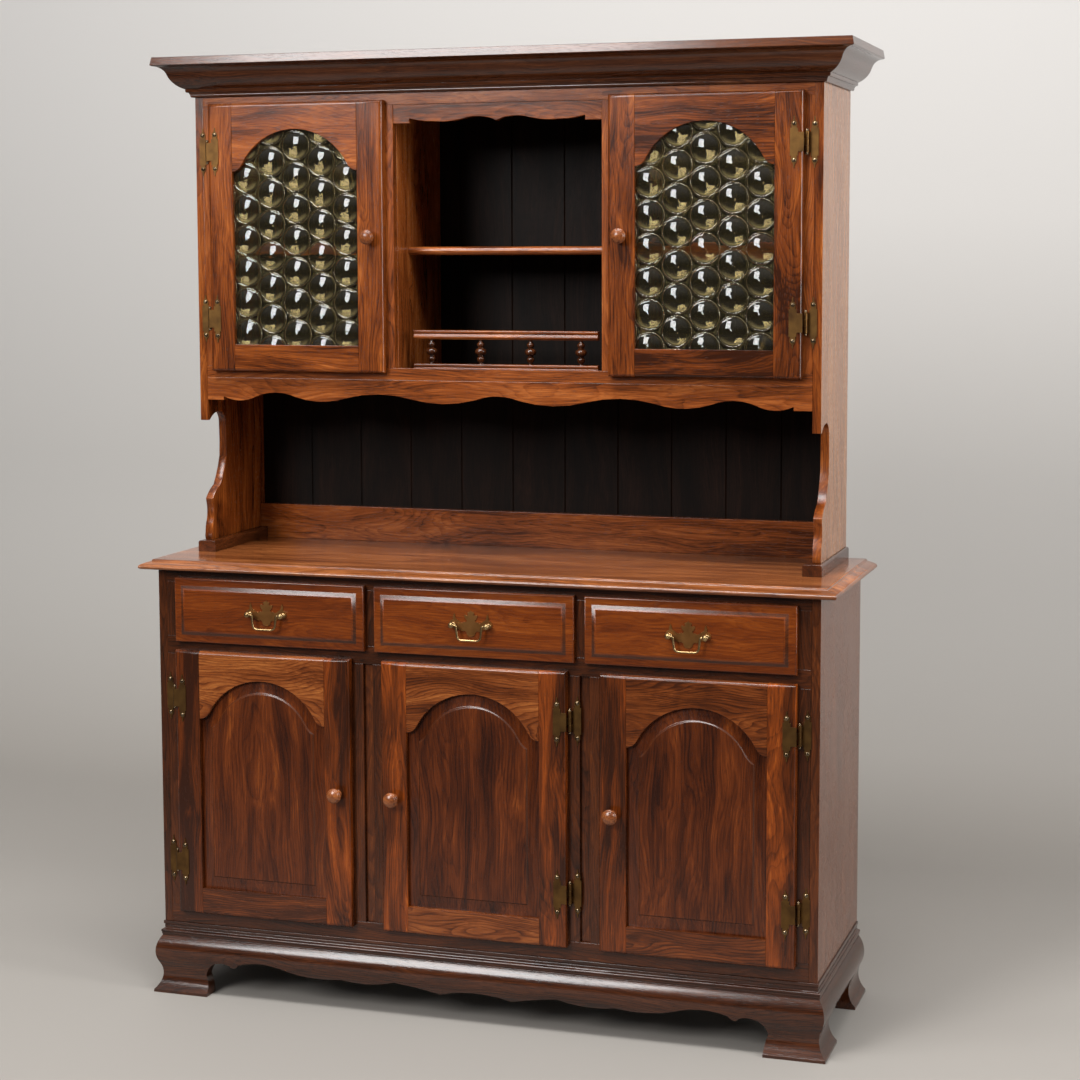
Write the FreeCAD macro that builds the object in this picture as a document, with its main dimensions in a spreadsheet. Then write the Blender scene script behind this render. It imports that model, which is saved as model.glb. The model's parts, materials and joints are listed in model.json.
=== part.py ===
"""Dresser with hutch: a base cabinet with three drawers and three doors, and a hutch with two glazed doors.

Lengths are millimetres. X runs along the front from the middle, Z is up from the floor. Each piece is drawn with
Y = 0 on the front of the base's face frame, and its placement then moves the middle of the whole depth to Y = 0.
"""
import FreeCAD, Part
import math
import os
import Sketcher

DIMENSIONS = (
    ("case_width", 1430, "base cabinet over its side panels"),
    ("case_depth", 439, "face frame front to back edge"),
    ("plinth_height", 155, "floor to the cabinet's underside"),
    ("case_height", 769, "side panels of the base"),
    ("panel_thick", 18, "side panels, decks and shelves"),
    ("back_thick", 8, "back panel of the base"),
    ("frame_thick", 20, "face frame stock"),
    ("partition_thick", 21, "boards between the compartments"),
    ("partition_setback", 8, "partition edge behind the stiles beside it"),
    ("shelf_height", 300, "cabinet underside to shelf top"),
    ("shelf_setback", 60, "shelf edge behind the face frame's front"),
    ("top_thick", 20, "worktop"),
    ("top_overhang", 26, "worktop beyond the face frame"),
    ("top_side_overhang", 35, "worktop beyond the side panels"),
    ("door_margin", 44, "outer base door's edge inside the case's side"),
    ("door_spacing", 69.5, "between two base doors"),
    ("door_width", "=(case_width - door_margin * 2 - door_spacing * 2) / 3", "every door"),
    ("door_height", "=case_height - door_lift - door_headroom - drawer_height - drawer_drop", "base doors"),
    ("door_headroom", 18, "base doors' tops to the drawer fronts"),
    ("door_thick", 19, "every door"),
    ("door_gap", 1, "air between a closed door or drawer front and the frame"),
    ("door_pitch", "=door_width + door_spacing", "middle to middle of the base doors"),
    ("door_lift", 28, "cabinet underside to door bottom"),
    ("overlay", 10, "lap of a base door or drawer front over its opening"),
    ("stile_width", 57, "door stiles"),
    ("rail_width", 57, "door bottom rail, and top rail over the arch"),
    ("arch_rise", 88, "arch of a door's top rail over its shoulders"),
    ("shoulder_radius", 24, "reverse curve at each foot of the arch"),
    ("edge_round", 5, "rounded outer edge of doors and drawer fronts"),
    ("bevel_width", 26, "sloping border round a raised panel"),
    ("bevel_fall", 7, "height of that border"),
    ("panel_recess", 2.5, "raised field behind the door's face"),
    ("panel_step", 2, "step from the border up to the raised field"),
    ("tongue_depth", 8, "panel or glass edge inside the door frame"),
    ("tongue_thick", 6, "panel edge"),
    ("panel_clearance", 0.3, "air between a panel's edge and its groove"),
    ("glass_thick", 4, "bull's-eye glass"),
    ("drawer_margin", 44.5, "outer drawer front's edge inside the case's side"),
    ("drawer_spacing", 22.5, "between two drawer fronts"),
    ("drawer_width", "=(case_width - drawer_margin * 2 - drawer_spacing * 2) / 3", "drawer fronts"),
    ("drawer_height", 137, "drawer fronts"),
    ("drawer_pitch", "=drawer_width + drawer_spacing", "middle to middle of the drawer fronts"),
    ("drawer_drop", 16, "worktop underside to drawer fronts"),
    ("drawer_depth", "=case_depth - back_thick - drawer_back_air", "drawer box behind its front"),
    ("drawer_back_air", 41, "drawer boxes to the back panel"),
    ("drawer_side_height", 96, "drawer box sides"),
    ("drawer_side_thick", 12, "drawer box sides, back and inner front"),
    ("drawer_bottom_thick", 5, "drawer bottoms"),
    ("drawer_bottom_lift", 10, "drawer bottom over the sides' lower edge"),
    ("drawer_side_air", 1.5, "drawer box to the sides of its opening"),
    ("running_air", 0.3, "drawer box over its runners"),
    ("runner_bearing", 15, "runner under the drawer box side"),
    ("runner_thick", 16, "runner below the drawer"),
    ("guide_height", 20, "runner's guide beside the drawer"),
    ("border_width", 23, "border round a drawer front's field"),
    ("border_fall", 3, "slope of that border"),
    ("field_step", 2, "step from the border up to the field"),
    ("knob_reach", 30, "knob in front of a door"),
    ("knob_width", 31, "knob head"),
    ("pull_spacing", 76, "between the posts of a drawer pull"),
    ("pull_stand", 13, "bail pivot in front of its plate"),
    ("pull_plate_thick", 1.5, "drawer pull plate"),
    ("pull_plate_width", 92, "drawer pull plate"),
    ("bail_wire", 4.4, "bail rod"),
    ("bail_bore", 4.6, "hole in a post for the bail's end"),
    ("bail_drop", 30, "bail bar below its pivots"),
    ("post_ball", 12, "ball head of a post"),
    ("bail_end", 0.5, "air at the ends of the bail"),
    ("hinge_offset", 5.5, "hinge pivot beside the door's edge"),
    ("hinge_stand", 9, "hinge pivot in front of the frame"),
    ("hinge_barrel", 8, "barrel diameter"),
    ("hinge_pin", 3.4, "pin diameter"),
    ("pin_air", 0.05, "running clearance round the pin"),
    ("leaf_thick", 1.8, "hinge leaves"),
    ("leaf_height", 102, "hinge leaves, point to point"),
    ("leaf_body_height", 54, "hinge leaves between their pointed ends"),
    ("leaf_body_width", 14, "hinge leaves beside the barrel's web"),
    ("frame_leaf_web", 2, "frame leaf between barrel and body"),
    ("door_leaf_web", 10, "door leaf between the door's edge and the body"),
    ("knuckle_height", 42, "whole barrel"),
    ("knuckle_air", 0.3, "between knuckles"),
    ("web_height", 38, "hinge leaf webs"),
    ("upper_hinge_inset", 102, "upper hinge's middle below the door's top"),
    ("lower_hinge_inset", 112, "lower hinge's middle above the door's bottom"),
    ("plinth_thick", 22, "plinth boards behind the case's face"),
    ("cap_height", 32, "moulding on top of the plinth"),
    ("cap_reach", 7, "bead of that moulding beyond the case"),
    ("shoulder_reach", 9, "where the ogee turns, beyond the case"),
    ("ogee_bulge", 9.5, "swell of the ogee"),
    ("foot_reach", 20, "toe of the feet beyond the case"),
    ("toe_height", 6, "square toe of the feet"),
    ("foot_width", 126, "bracket foot along the floor"),
    ("foot_arch", 75, "arch between foot and apron, from the floor"),
    ("apron_clear", 66, "apron's points from the floor"),
    ("apron_scallop", 11, "apron's hollows above its points"),
    ("apron_drop", 43, "middle of the apron from the floor"),
    ("hutch_inset", 32, "hutch side inside the case's side"),
    ("hutch_width", "=case_width - hutch_inset * 2", "hutch over its side panels"),
    ("hutch_setback", 148.5, "hutch front behind the base's front"),
    ("runner_foot", 24, "hutch runner on the worktop"),
    ("runner_foot_width", 40, "hutch runner"),
    ("runner_foot_front", 10, "runner in front of the hutch side"),
    ("side_step", 287, "worktop to the lower end of the hutch's front edge"),
    ("hutch_height", 981, "worktop to the hutch's top"),
    ("hutch_door_lift", 396, "worktop to the glazed doors"),
    ("hutch_headroom", 15, "glazed doors' tops to the hutch's top"),
    ("glazed_height", "=hutch_height - hutch_door_lift - hutch_headroom", "glazed doors"),
    ("hutch_door_margin", 37, "outer edge of a glazed door inside the hutch's side"),
    ("hutch_door_edge", "=hutch_width / 2 - hutch_door_margin", "outer edge of a glazed door from the middle"),
    ("hutch_overlay", 6, "lap of a glazed door over the rails"),
    ("bay_stile", 17.5, "stile seen between a glazed door and the open middle bay"),
    ("centre_half", "=hutch_door_edge - door_width - bay_stile", "half of the open middle bay"),
    ("divider_thick", 18, "boards beside the middle bay"),
    ("hutch_rail", 21, "rail under the glazed doors"),
    ("deck_drop", 7, "hutch deck below that rail's top"),
    ("valance_drop", 49, "lower valance, to its points"),
    ("valance_wave", 18, "height of the valance's waves"),
    ("valance_step", 8, "step at the valance's ends"),
    ("valance_end", 38, "straight end of the valance"),
    ("centre_valance_drop", 43, "valance over the middle bay"),
    ("board_count", 11, "tongued boards in the hutch's back"),
    ("board_thick", 10, "tongued boards"),
    ("tongue_size", 4, "tongue of a back board"),
    ("back_rail_height", 77, "rail at the back of the worktop"),
    ("display_shelf_setback", 82, "middle shelf edge behind the hutch's front"),
    ("side_shelf_setback", 50, "side shelf edge behind the hutch's front"),
    ("hutch_shelf_top", 661, "worktop to the hutch shelves' tops"),
    ("gallery_setback", 57, "plate gallery behind the hutch's front"),
    ("gallery_air", 23.5, "gallery rails' ends to the bay's sides"),
    ("gallery_half", "=centre_half - gallery_air", "half length of the gallery rails"),
    ("gallery_rail", 19, "gallery rail height"),
    ("gallery_depth", 17, "gallery rail depth"),
    ("spindle_height", 52, "gallery spindles"),
    ("spindle_end", 38.1, "outer spindles from the gallery's ends"),
    ("spindle_pitch", "=(gallery_half - spindle_end) * 2 / 3", "spacing of the spindles"),
    ("spindle_width", 24, "ball of a spindle"),
    ("cornice_height", 82, "cornice"),
    ("cornice_reach", 70.5, "cornice beyond the hutch"),
    ("cornice_thick", 20, "cornice stock on the case's line"),
    ("fascia_height", 17, "cornice's top band"),
    ("fascia_lean", 3, "top band leans back"),
    ("catch_width", 40, "door catches"),
    ("catch_height", 12, "door catches"),
)


class Size:
    """A number that also knows the sheet formula it comes from."""

    def __init__(self, value, formula):
        self.value = float(value)
        self.formula = formula

    def __add__(self, other):
        return Size(self.value + number(other), "(%s + %s)" % (self.formula, formula_of(other)))

    def __radd__(self, other):
        return self + other

    def __sub__(self, other):
        return Size(self.value - number(other), "(%s - %s)" % (self.formula, formula_of(other)))

    def __rsub__(self, other):
        return Size(number(other) - self.value, "(%s - %s)" % (formula_of(other), self.formula))

    def __mul__(self, other):
        return Size(self.value * number(other), "(%s * %s)" % (self.formula, formula_of(other)))

    def __rmul__(self, other):
        return self * other

    def __truediv__(self, other):
        return Size(self.value / number(other), "(%s / %s)" % (self.formula, formula_of(other)))

    def __neg__(self):
        return Size(-self.value, "(-1 * %s)" % self.formula)


def number(value):
    return value.value if isinstance(value, Size) else float(value)


def formula_of(value):
    return value.formula if isinstance(value, Size) else repr(float(value))


def root(value):
    return Size(math.sqrt(number(value)), "sqrt(%s)" % formula_of(value))


def vector(x=0, y=0, z=0):
    return FreeCAD.Vector(number(x), number(y), number(z))


# --- the document, its sheet and the values worked out from it ---

doc = FreeCAD.newDocument("dresser")
sheet = doc.addObject("Spreadsheet::Sheet", "dims")
for row, (alias, value, meaning) in enumerate(DIMENSIONS, 1):
    sheet.set("A%d" % row, alias)
    sheet.set("B%d" % row, str(value))
    sheet.set("C%d" % row, meaning)
    sheet.setAlias("B%d" % row, alias)
doc.recompute()

dim = {alias: Size(sheet.get(alias), "dims." + alias) for alias, value, meaning in DIMENSIONS}
nodes = []

half_case = dim["case_width"] / 2
half_inside = half_case - dim["panel_thick"]
case_top = dim["plinth_height"] + dim["case_height"]
door_face = dim["door_gap"] + dim["door_thick"]
front_reach = door_face + dim["knob_reach"]
front_line = (front_reach - dim["case_depth"]) / 2
worktop = case_top + dim["top_thick"]
door_bottom = dim["plinth_height"] + dim["door_lift"]
door_top = door_bottom + dim["door_height"]
drawer_top = case_top - dim["drawer_drop"]
drawer_bottom = drawer_top - dim["drawer_height"]
middle_rail_low = door_top - dim["overlay"]
middle_rail_high = drawer_bottom + dim["overlay"]
partition_middle = dim["door_pitch"] / 2
drawer_split = dim["drawer_pitch"] / 2
drawer_opening = dim["drawer_width"] - dim["overlay"] * 2
half_hutch = dim["hutch_width"] / 2
half_hutch_inside = half_hutch - dim["panel_thick"]
hutch_front = dim["hutch_setback"]
hutch_inner = hutch_front + dim["frame_thick"]
hutch_top = worktop + dim["hutch_height"]
hutch_boards = dim["case_depth"] - dim["board_thick"]
hutch_door_bottom = worktop + dim["hutch_door_lift"]
hutch_door_top = hutch_door_bottom + dim["glazed_height"]
hutch_door_middle = dim["hutch_door_edge"] - dim["door_width"] / 2
hutch_rail_top = hutch_door_bottom + dim["hutch_overlay"]
hutch_upper_rail = hutch_door_top - dim["hutch_overlay"]
deck_top = hutch_rail_top - dim["deck_drop"]
opening_half = dim["door_width"] / 2 - dim["stile_width"]

# turned pieces and rods are round but for these facets
KNOB_FACETS = 20
POST_FACETS = 12
ROD_FACETS = 12
PIN_FACETS = 8
# a cut starts and ends this far outside the wood
OVERCUT = 2
# edges are found by their place to within this
NEAR = 0.01

# Outlines are runs of (across, up), with the rise of an arc where one leads to the point.

# worktop's moulded edge: in from the edge, below the top
NOSE = ((24, 0), (22.5, -2.5, 0.4), (5, -9, -1.6), (0, -15, -1.6), (3.5, -20, -1.4))
# plinth cap: beyond the case, above its lower edge
CAP = ((4, 0), (4, 14, 3), (1, 20, -1.2), (2, 26), (2, 32))
# cornice below its cove: beyond the hutch, above its lower edge
CORNICE_FOOT = ((6, 0), (7.5, 5), (14, 9.5, -1.5), (14.5, 16))
# bracket foot: in from its toe, above the floor
FOOT = ((0, 0), (-8, 42, 2.5), (32, 75, -9.5), (56, 66, -3))
# apron: share of the way from the middle to the feet, above the apron's points
APRON = ((0.882, 9, -3), (0.695, 6, 9.5), (0.493, 0, -7), (0.294, 7, -8), (0.13, -11, 2))
APRON_SWELL = 12
# hutch side's front edge: behind the hutch's front, above its step
SIDE_SCROLL = (
    (0, 0), (9, 0), (52, 16, -4), (87, -14, -12), (87, -85, -1.5), (55, -146, -3), (17, -173, 2.5), (20, -184),
    (20, -218, -2.5), (12, -246, 1.5), (13, -263, 1.5),
)
# lower valance: lengths of its waves, from an end to the middle
VALANCE_WAVES = (77, 93, 118, 146, 143, 50)
# middle bay's valance: share of the bay's half, above the points
BAY_VALANCE = ((1, 0), (0.842, 0), (0.842, 10), (0.604, 3, -2), (0.325, 7, -2.5), (0.105, 10, 3), (0, 2, 1.5))
# turned pieces: share of the radius, share of the length
KNOB = ((0.6, 0), (0.46, 0.2), (0.5, 0.42), (0.92, 0.54), (1, 0.66), (0.9, 0.84), (0.5, 0.97), (0.15, 1))
POST = ((0.45, 0), (0.55, 0.44), (0.87, 0.549), (1, 0.714), (0.87, 0.878), (0.5, 1))
SPINDLE = (
    (0.35, 0), (0.35, 0.08), (0.62, 0.16), (0.68, 0.24), (0.42, 0.33), (0.85, 0.42), (1, 0.51), (0.85, 0.6),
    (0.42, 0.68), (0.68, 0.76), (0.6, 0.84), (0.32, 0.92), (0.32, 1),
)
# pull plate, from its lower point to its finial: beside the middle, above the posts' axis; the post's lobe by itself
PLATE_FOOT = ((0, -24), (9, -19, 1.5), (16, -13, -1.5))
PLATE_LOBE = ((2, -6, 1.5), (8, 3, 2), (0, 12, 1.5), (-1, 24, -1.5))
PLATE_HEAD = ((17, 4.5, -3), (8.5, 10, 1), (14, 20, 1.5), (7, 26, -1), (0, 31.8))


# --- drawing helpers ---

def bind(thing, name, value):
    """Set a property, and tie it to the sheet where it comes from there."""
    if isinstance(value, Size):
        thing.setExpression(name, value.formula)


def place(thing, x=0, y=0, z=0):
    """Put a piece at a point of the object."""
    where = (x, front_line + y, z)
    thing.Placement = FreeCAD.Placement(vector(*where), thing.Placement.Rotation)
    for axis, value in zip("xyz", where):
        bind(thing, "Placement.Base." + axis, value)


def keep(label, thing, x=0, y=0, z=0):
    """Make a piece one of the object's named nodes."""
    thing.Label = label
    place(thing, x, y, z)
    nodes.append(thing)
    return thing


def keep_group(label, members, x=0, y=0, z=0):
    """Make several loose solids one named node."""
    group = doc.addObject("Part::Compound", "Group")
    group.Links = members
    return keep(label, group, x, y, z)


def put(thing, x, y, z, turn=None):
    """Move a plain shape to a point, and turn it about that point."""
    thing.Placement = FreeCAD.Placement(vector(x, y, z), turn or FreeCAD.Rotation())
    for axis, value in zip("xyz", (x, y, z)):
        bind(thing, "Placement.Base." + axis, value)
    return thing


def block(x, y, z, size_x, size_y, size_z):
    """A plain board."""
    board = doc.addObject("Part::Box", "Board")
    for name, value in (("Length", size_x), ("Width", size_y), ("Height", size_z)):
        setattr(board, name, number(value))
        bind(board, name, value)
    return put(board, x, y, z)


def rod(x, y, z, radius, length, facets, along_x=False):
    """A bar, round but for its facets, that starts at a point and runs up, or towards +X."""
    bar = doc.addObject("Part::Prism", "Rod")
    bar.Polygon = facets
    for name, value in (("Circumradius", radius), ("Height", length)):
        setattr(bar, name, number(value))
        bind(bar, name, value)
    return put(bar, x, y, z, FreeCAD.Rotation(vector(0, 1, 0), 90 if along_x else 0))


def bore(x, y, z, radius, length, along_x=False):
    """The shape of a hole that a rod of the given radius turns in: its facets' middles stand at the radius."""
    return rod(x, y, z, radius / math.cos(math.pi / ROD_FACETS), length, ROD_FACETS, along_x)


def mirror(thing):
    """The same piece on the other side of the middle."""
    twin = doc.addObject("Part::Mirroring", "Twin")
    twin.Source = thing
    twin.Normal = vector(1, 0, 0)
    return twin


def fuse(members):
    whole = doc.addObject("Part::MultiFuse", "Fused")
    whole.Shapes = members
    return whole


def new_body():
    return doc.addObject("PartDesign::Body", "Piece")


def new_sketch(body, plane, offset=0):
    """A sketch on one of the body's own planes, moved along the plane's normal."""
    role = plane + "_Plane"
    base = [feature for feature in body.Origin.OriginFeatures if feature.Role == role][0]
    sketch = body.newObject("Sketcher::SketchObject", "Outline")
    sketch.AttachmentSupport = [(base, "")]
    sketch.MapMode = "FlatFace"
    sketch.AttachmentOffset = FreeCAD.Placement(vector(0, 0, offset), FreeCAD.Rotation())
    bind(sketch, "AttachmentOffset.Base.z", offset)
    return sketch


def arc_between(start, end, rise):
    """The arc whose middle stands off its chord by rise, to the right of the way from start to end if positive."""
    chord = end - start
    height = abs(rise)
    radius = (chord.Length ** 2 / 4 + height ** 2) / (2 * height)
    left = vector(-chord.y, chord.x).normalize()
    side = 1 if rise > 0 else -1
    centre = (start + end) * 0.5 + left * (side * (radius - height))
    first, last = (start, end) if rise > 0 else (end, start)
    angles = [math.atan2(point.y - centre.y, point.x - centre.x) for point in (first, last)]
    return Part.ArcOfCircle(Part.Circle(centre, vector(0, 0, 1), radius), angles[0], angles[1])


def draw(sketch, steps, closed=True):
    """Draw an outline: each step is (u, v), or (u, v, rise) where an arc leads to that point.

    Every corner is held by its two distances from the origin, and every arc by its radius as well.
    """
    first = sketch.GeometryCount
    count = len(steps)
    runs = count if closed else count - 1
    starts = []
    ends = []
    arcs = []
    for index in range(runs):
        here = steps[index]
        there = steps[(index + 1) % count]
        start = vector(here[0], here[1])
        end = vector(there[0], there[1])
        rise = there[2] if len(there) > 2 else None
        if rise is None:
            sketch.addGeometry(Part.LineSegment(start, end), False)
            starts.append(1)
            ends.append(2)
            continue
        sketch.addGeometry(arc_between(start, end, number(rise)), False)
        forward = number(rise) > 0
        starts.append(1 if forward else 2)
        ends.append(2 if forward else 1)
        wide = there[0] - here[0]
        high = there[1] - here[1]
        swell = rise if forward else -rise
        arcs.append((index, ((wide * wide + high * high) / 4 + swell * swell) / (swell * 2)))
    rules = []
    bound = []
    for index in range(count):
        if index < runs:
            line, corner = first + index, starts[index]
        else:
            line, corner = first + index - 1, ends[index - 1]
        if (index or closed) and index < runs:
            before = (index - 1) % count
            rules.append(Sketcher.Constraint("Coincident", first + before, ends[before], line, corner))
        for kind, value in (("DistanceX", steps[index][0]), ("DistanceY", steps[index][1])):
            bound.append((len(rules), value))
            rules.append(Sketcher.Constraint(kind, -1, 1, line, corner, number(value)))
    for index, radius in arcs:
        bound.append((len(rules), radius))
        rules.append(Sketcher.Constraint("Radius", first + index, number(radius)))
    offset = sketch.ConstraintCount
    sketch.addConstraint(rules)
    for index, value in bound:
        bind(sketch, "Constraints[%d]" % (offset + index), value)


def circle(sketch, u, v, radius):
    sketch.addGeometry(Part.Circle(vector(u, v), vector(0, 0, 1), number(radius)), False)
    line = sketch.GeometryCount - 1
    offset = sketch.ConstraintCount
    values = (u, v, radius)
    sketch.addConstraint([
        Sketcher.Constraint("DistanceX", -1, 1, line, 3, number(u)),
        Sketcher.Constraint("DistanceY", -1, 1, line, 3, number(v)),
        Sketcher.Constraint("Radius", line, number(radius)),
    ])
    for index, value in enumerate(values):
        bind(sketch, "Constraints[%d]" % (offset + index), value)


def outline_on(body, plane, steps, start):
    """A closed outline on a plane that stands at start along X, Y or Z."""
    sketch = new_sketch(body, plane, -start if plane == "XZ" else start)
    draw(sketch, steps)
    return sketch


def pad(body, plane, steps, start, thick):
    """Add an outline's prism, from start towards +X, +Y or +Z."""
    sketch = outline_on(body, plane, steps, start)
    feature = body.newObject("PartDesign::Pad", "Pad")
    feature.Profile = sketch
    feature.Length = number(thick)
    bind(feature, "Length", thick)
    feature.Reversed = plane == "XZ"
    return feature


def cut(body, plane, steps, start, thick):
    """Take an outline's prism away, from start towards +X, +Y or +Z."""
    doc.recompute()
    before = body.Shape.Volume
    sketch = outline_on(body, plane, steps, start)
    feature = body.newObject("PartDesign::Pocket", "Pocket")
    feature.Profile = sketch
    feature.Length = number(thick)
    bind(feature, "Length", thick)
    feature.Reversed = plane != "XZ"
    doc.recompute()
    if body.Shape.Volume >= before:
        raise RuntimeError("a pocket of %s removed nothing" % body.Name)
    return feature


def board(plane, steps, start, thick):
    """A board sawn to an outline."""
    body = new_body()
    pad(body, plane, steps, start, thick)
    return body


def loft(body, plane, lower_steps, lower, upper_steps, upper):
    """Sloping faces between two outlines."""
    first = outline_on(body, plane, lower_steps, lower)
    second = outline_on(body, plane, upper_steps, upper)
    feature = body.newObject("PartDesign::AdditiveLoft", "Loft")
    feature.Profile = first
    feature.Sections = [second]
    feature.Ruled = True
    return feature


class FacetTurning:
    """Shapes a turned piece: flat facets between regular polygons that stand along its axis."""

    def execute(self, piece):
        """Work the solid out again from the piece's radius, length and rings."""
        count = piece.Facets
        turns = [2 * math.pi * index / count for index in range(count)]
        rings = []
        for share in piece.Rings:
            across = share.x * piece.Radius.Value
            up = share.z * piece.Length.Value
            rings.append([vector(across * math.cos(turn), across * math.sin(turn), up) for turn in turns])
        outlines = [rings[0], rings[-1]]
        for lower, upper in zip(rings, rings[1:]):
            for index in range(count):
                after = (index + 1) % count
                outlines.append([lower[index], lower[after], upper[after], upper[index]])
        faces = [Part.Face(Part.makePolygon(points + points[:1])) for points in outlines]
        piece.Shape = Part.makeSolid(Part.makeShell(faces))


def turning(x, y, z, radius, length, rings, facets, to_front=False):
    """A turned piece that stands on a point, or reaches towards -Y from it where to_front says so.

    rings are (share of the radius, share of the length).
    """
    piece = doc.addObject("Part::FeaturePython", "Turning")
    piece.addProperty("App::PropertyLength", "Radius")
    piece.addProperty("App::PropertyLength", "Length")
    piece.addProperty("App::PropertyInteger", "Facets")
    piece.addProperty("App::PropertyVectorList", "Rings")
    piece.Proxy = FacetTurning()
    for name, value in (("Radius", radius), ("Length", length)):
        setattr(piece, name, number(value))
        bind(piece, name, value)
    piece.Facets = facets
    piece.Rings = [vector(across, 0, up) for across, up in rings]
    return put(piece, x, y, z, FreeCAD.Rotation(vector(1, 0, 0), 90 if to_front else 0))


def round_edges(body, radius, chosen):
    """Round the edges for which chosen says yes, given an edge's middle point and its box."""
    doc.recompute()
    base = body.Tip
    names = []
    for index, edge in enumerate(body.Shape.Edges, 1):
        if chosen(edge.CenterOfMass, edge.BoundBox):
            names.append("Edge%d" % index)
    feature = body.newObject("PartDesign::Fillet", "Round")
    feature.Base = (base, names)
    feature.Radius = number(radius)
    bind(feature, "Radius", radius)
    return feature


def rectangle(left, right, low, high):
    return [(left, low), (right, low), (right, high), (left, high)]


def mirrored(half, middle=None):
    """An outline's half from the right end to the middle, with its other half; middle is the rise across it."""
    twins = []
    count = len(half)
    last = half[-1]
    if middle is not None:
        twins.append((-last[0], last[1], middle))
    elif number(last[0]) != 0:
        twins.append((-last[0], last[1]))
    for index in range(count - 2, -1, -1):
        point = half[index]
        following = half[index + 1]
        twins.append((-point[0], point[1]) + tuple(following[2:3]))
    return list(half) + twins


def backwards(steps):
    """The same outline walked the other way."""
    result = []
    for index in range(len(steps) - 1, -1, -1):
        following = steps[(index + 1) % len(steps)]
        result.append(tuple(steps[index][:2]) + tuple(-rise for rise in following[2:3]))
    return result


# --- doors ---

def arch_outline(high, margin=0):
    """The outline of a door's arched opening about the door's lower middle, drawn in by margin."""
    half = opening_half - margin
    low = dim["rail_width"] + margin
    opening_top = high - dim["rail_width"]
    reach = (opening_half * opening_half + dim["arch_rise"] * dim["arch_rise"]) / (dim["arch_rise"] * 2)
    crown = reach - dim["shoulder_radius"]
    big = crown - margin
    small = dim["shoulder_radius"] + margin
    centre = opening_top - crown
    spring = opening_top - dim["arch_rise"] + dim["shoulder_radius"]
    inset = opening_half - half
    shoulder = spring - root(small * small - inset * inset)
    share = big / reach
    turn_x = opening_half * share
    turn_z = centre + (spring - centre) * share
    crown_rise = opening_top - margin - turn_z
    wide = half - turn_x
    tall = turn_z - shoulder
    chord = (wide * wide + tall * tall) / 4
    foot_rise = small - root(small * small - chord)
    steps = [(-half, low), (half, low), (half, shoulder), (turn_x, turn_z, -foot_rise)]
    steps.append((-turn_x, turn_z, crown_rise))
    steps.append((-half, shoulder, -foot_rise))
    return steps


def edge_outline(high):
    """The outline of a panel or a pane inside the frame's groove."""
    return arch_outline(high, dim["panel_clearance"] - dim["tongue_depth"])


def top_rail_outline(high):
    """A door's top rail: straight above, arched below."""
    right_foot, right_turn, left_turn, left_foot = arch_outline(high)[2:]
    return [
        left_foot[:2],
        left_turn[:2] + (-left_foot[2],),
        right_turn[:2] + (-left_turn[2],),
        right_foot[:2] + (-right_turn[2],),
        (opening_half, high),
        (-opening_half, high),
    ]


def door_frame_members(high, groove_start, groove_thick):
    """Two stiles, an arched top rail and a bottom rail, grooved for the panel or rebated for the glass."""
    half = dim["door_width"] / 2
    outside = door_face
    members = []
    groove = arch_outline(high, -dim["tongue_depth"])

    def at_face(centre, box):
        return abs(centre.y + number(outside)) < 0.01 and box.YLength < 0.01

    def member(steps, is_outer):
        body = board("XZ", steps, -outside, dim["door_thick"])
        cut(body, "XZ", groove, groove_start, groove_thick)
        round_edges(body, dim["edge_round"], lambda centre, box: at_face(centre, box) and is_outer(centre, box))
        members.append(body)

    member(rectangle(-half, -opening_half, 0, high), lambda centre, box: centre.x < number(-half) + 1)
    member(rectangle(opening_half, half, 0, high), lambda centre, box: centre.x > number(half) - 1)
    member(rectangle(-opening_half, opening_half, 0, dim["rail_width"]), lambda centre, box: centre.z < 1)
    member(top_rail_outline(high), lambda centre, box: centre.z > number(high) - 1)
    return members


def raised_panel(high):
    """A door panel: a tongue all round, a sloping border, and a field a step above it."""
    body = new_body()
    field = -door_face + dim["panel_recess"]
    border = field + dim["panel_step"]
    slope_foot = field + dim["bevel_fall"]
    field_outline = arch_outline(high, dim["bevel_width"])
    pad(body, "XZ", edge_outline(high), slope_foot, dim["tongue_thick"])
    loft(body, "XZ", arch_outline(high, dim["panel_clearance"]), slope_foot, field_outline, border)
    pad(body, "XZ", field_outline, field, dim["panel_step"])
    return body


def glass_pane(high, start):
    return board("XZ", edge_outline(high), start, dim["glass_thick"])


def glass_bead(high, start, thick):
    """The strip that holds the glass in its rebate."""
    body = new_body()
    sketch = outline_on(body, "XZ", edge_outline(high), start)
    draw(sketch, arch_outline(high, dim["panel_clearance"]))
    feature = body.newObject("PartDesign::Pad", "Pad")
    feature.Profile = sketch
    feature.Length = number(thick)
    bind(feature, "Length", thick)
    feature.Reversed = True
    return body


def knob():
    """A turned mushroom knob whose foot stands on Y = 0."""
    return turning(0, 0, 0, dim["knob_width"] / 2, dim["knob_reach"], KNOB, KNOB_FACETS, to_front=True)


def leaf_outline(near, web, side, middle):
    """A hinge leaf: a web beside the barrel, then a taller body that ends in a point above and below."""
    wide = dim["leaf_body_width"] / 2
    centre = web + wide
    neck = dim["leaf_body_height"] / 2
    tip = dim["leaf_height"] / 2
    lobe = (neck + tip) / 2
    upper = [
        (0 * web, dim["web_height"] / 2), (web, dim["web_height"] / 2), (web, neck), (centre - wide, lobe),
        (centre, tip), (centre + wide, lobe), (centre + wide, neck),
    ]
    points = upper + [(x, -z) for x, z in reversed(upper)]
    return [(near + x * side, middle + z) for x, z in points]


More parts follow.
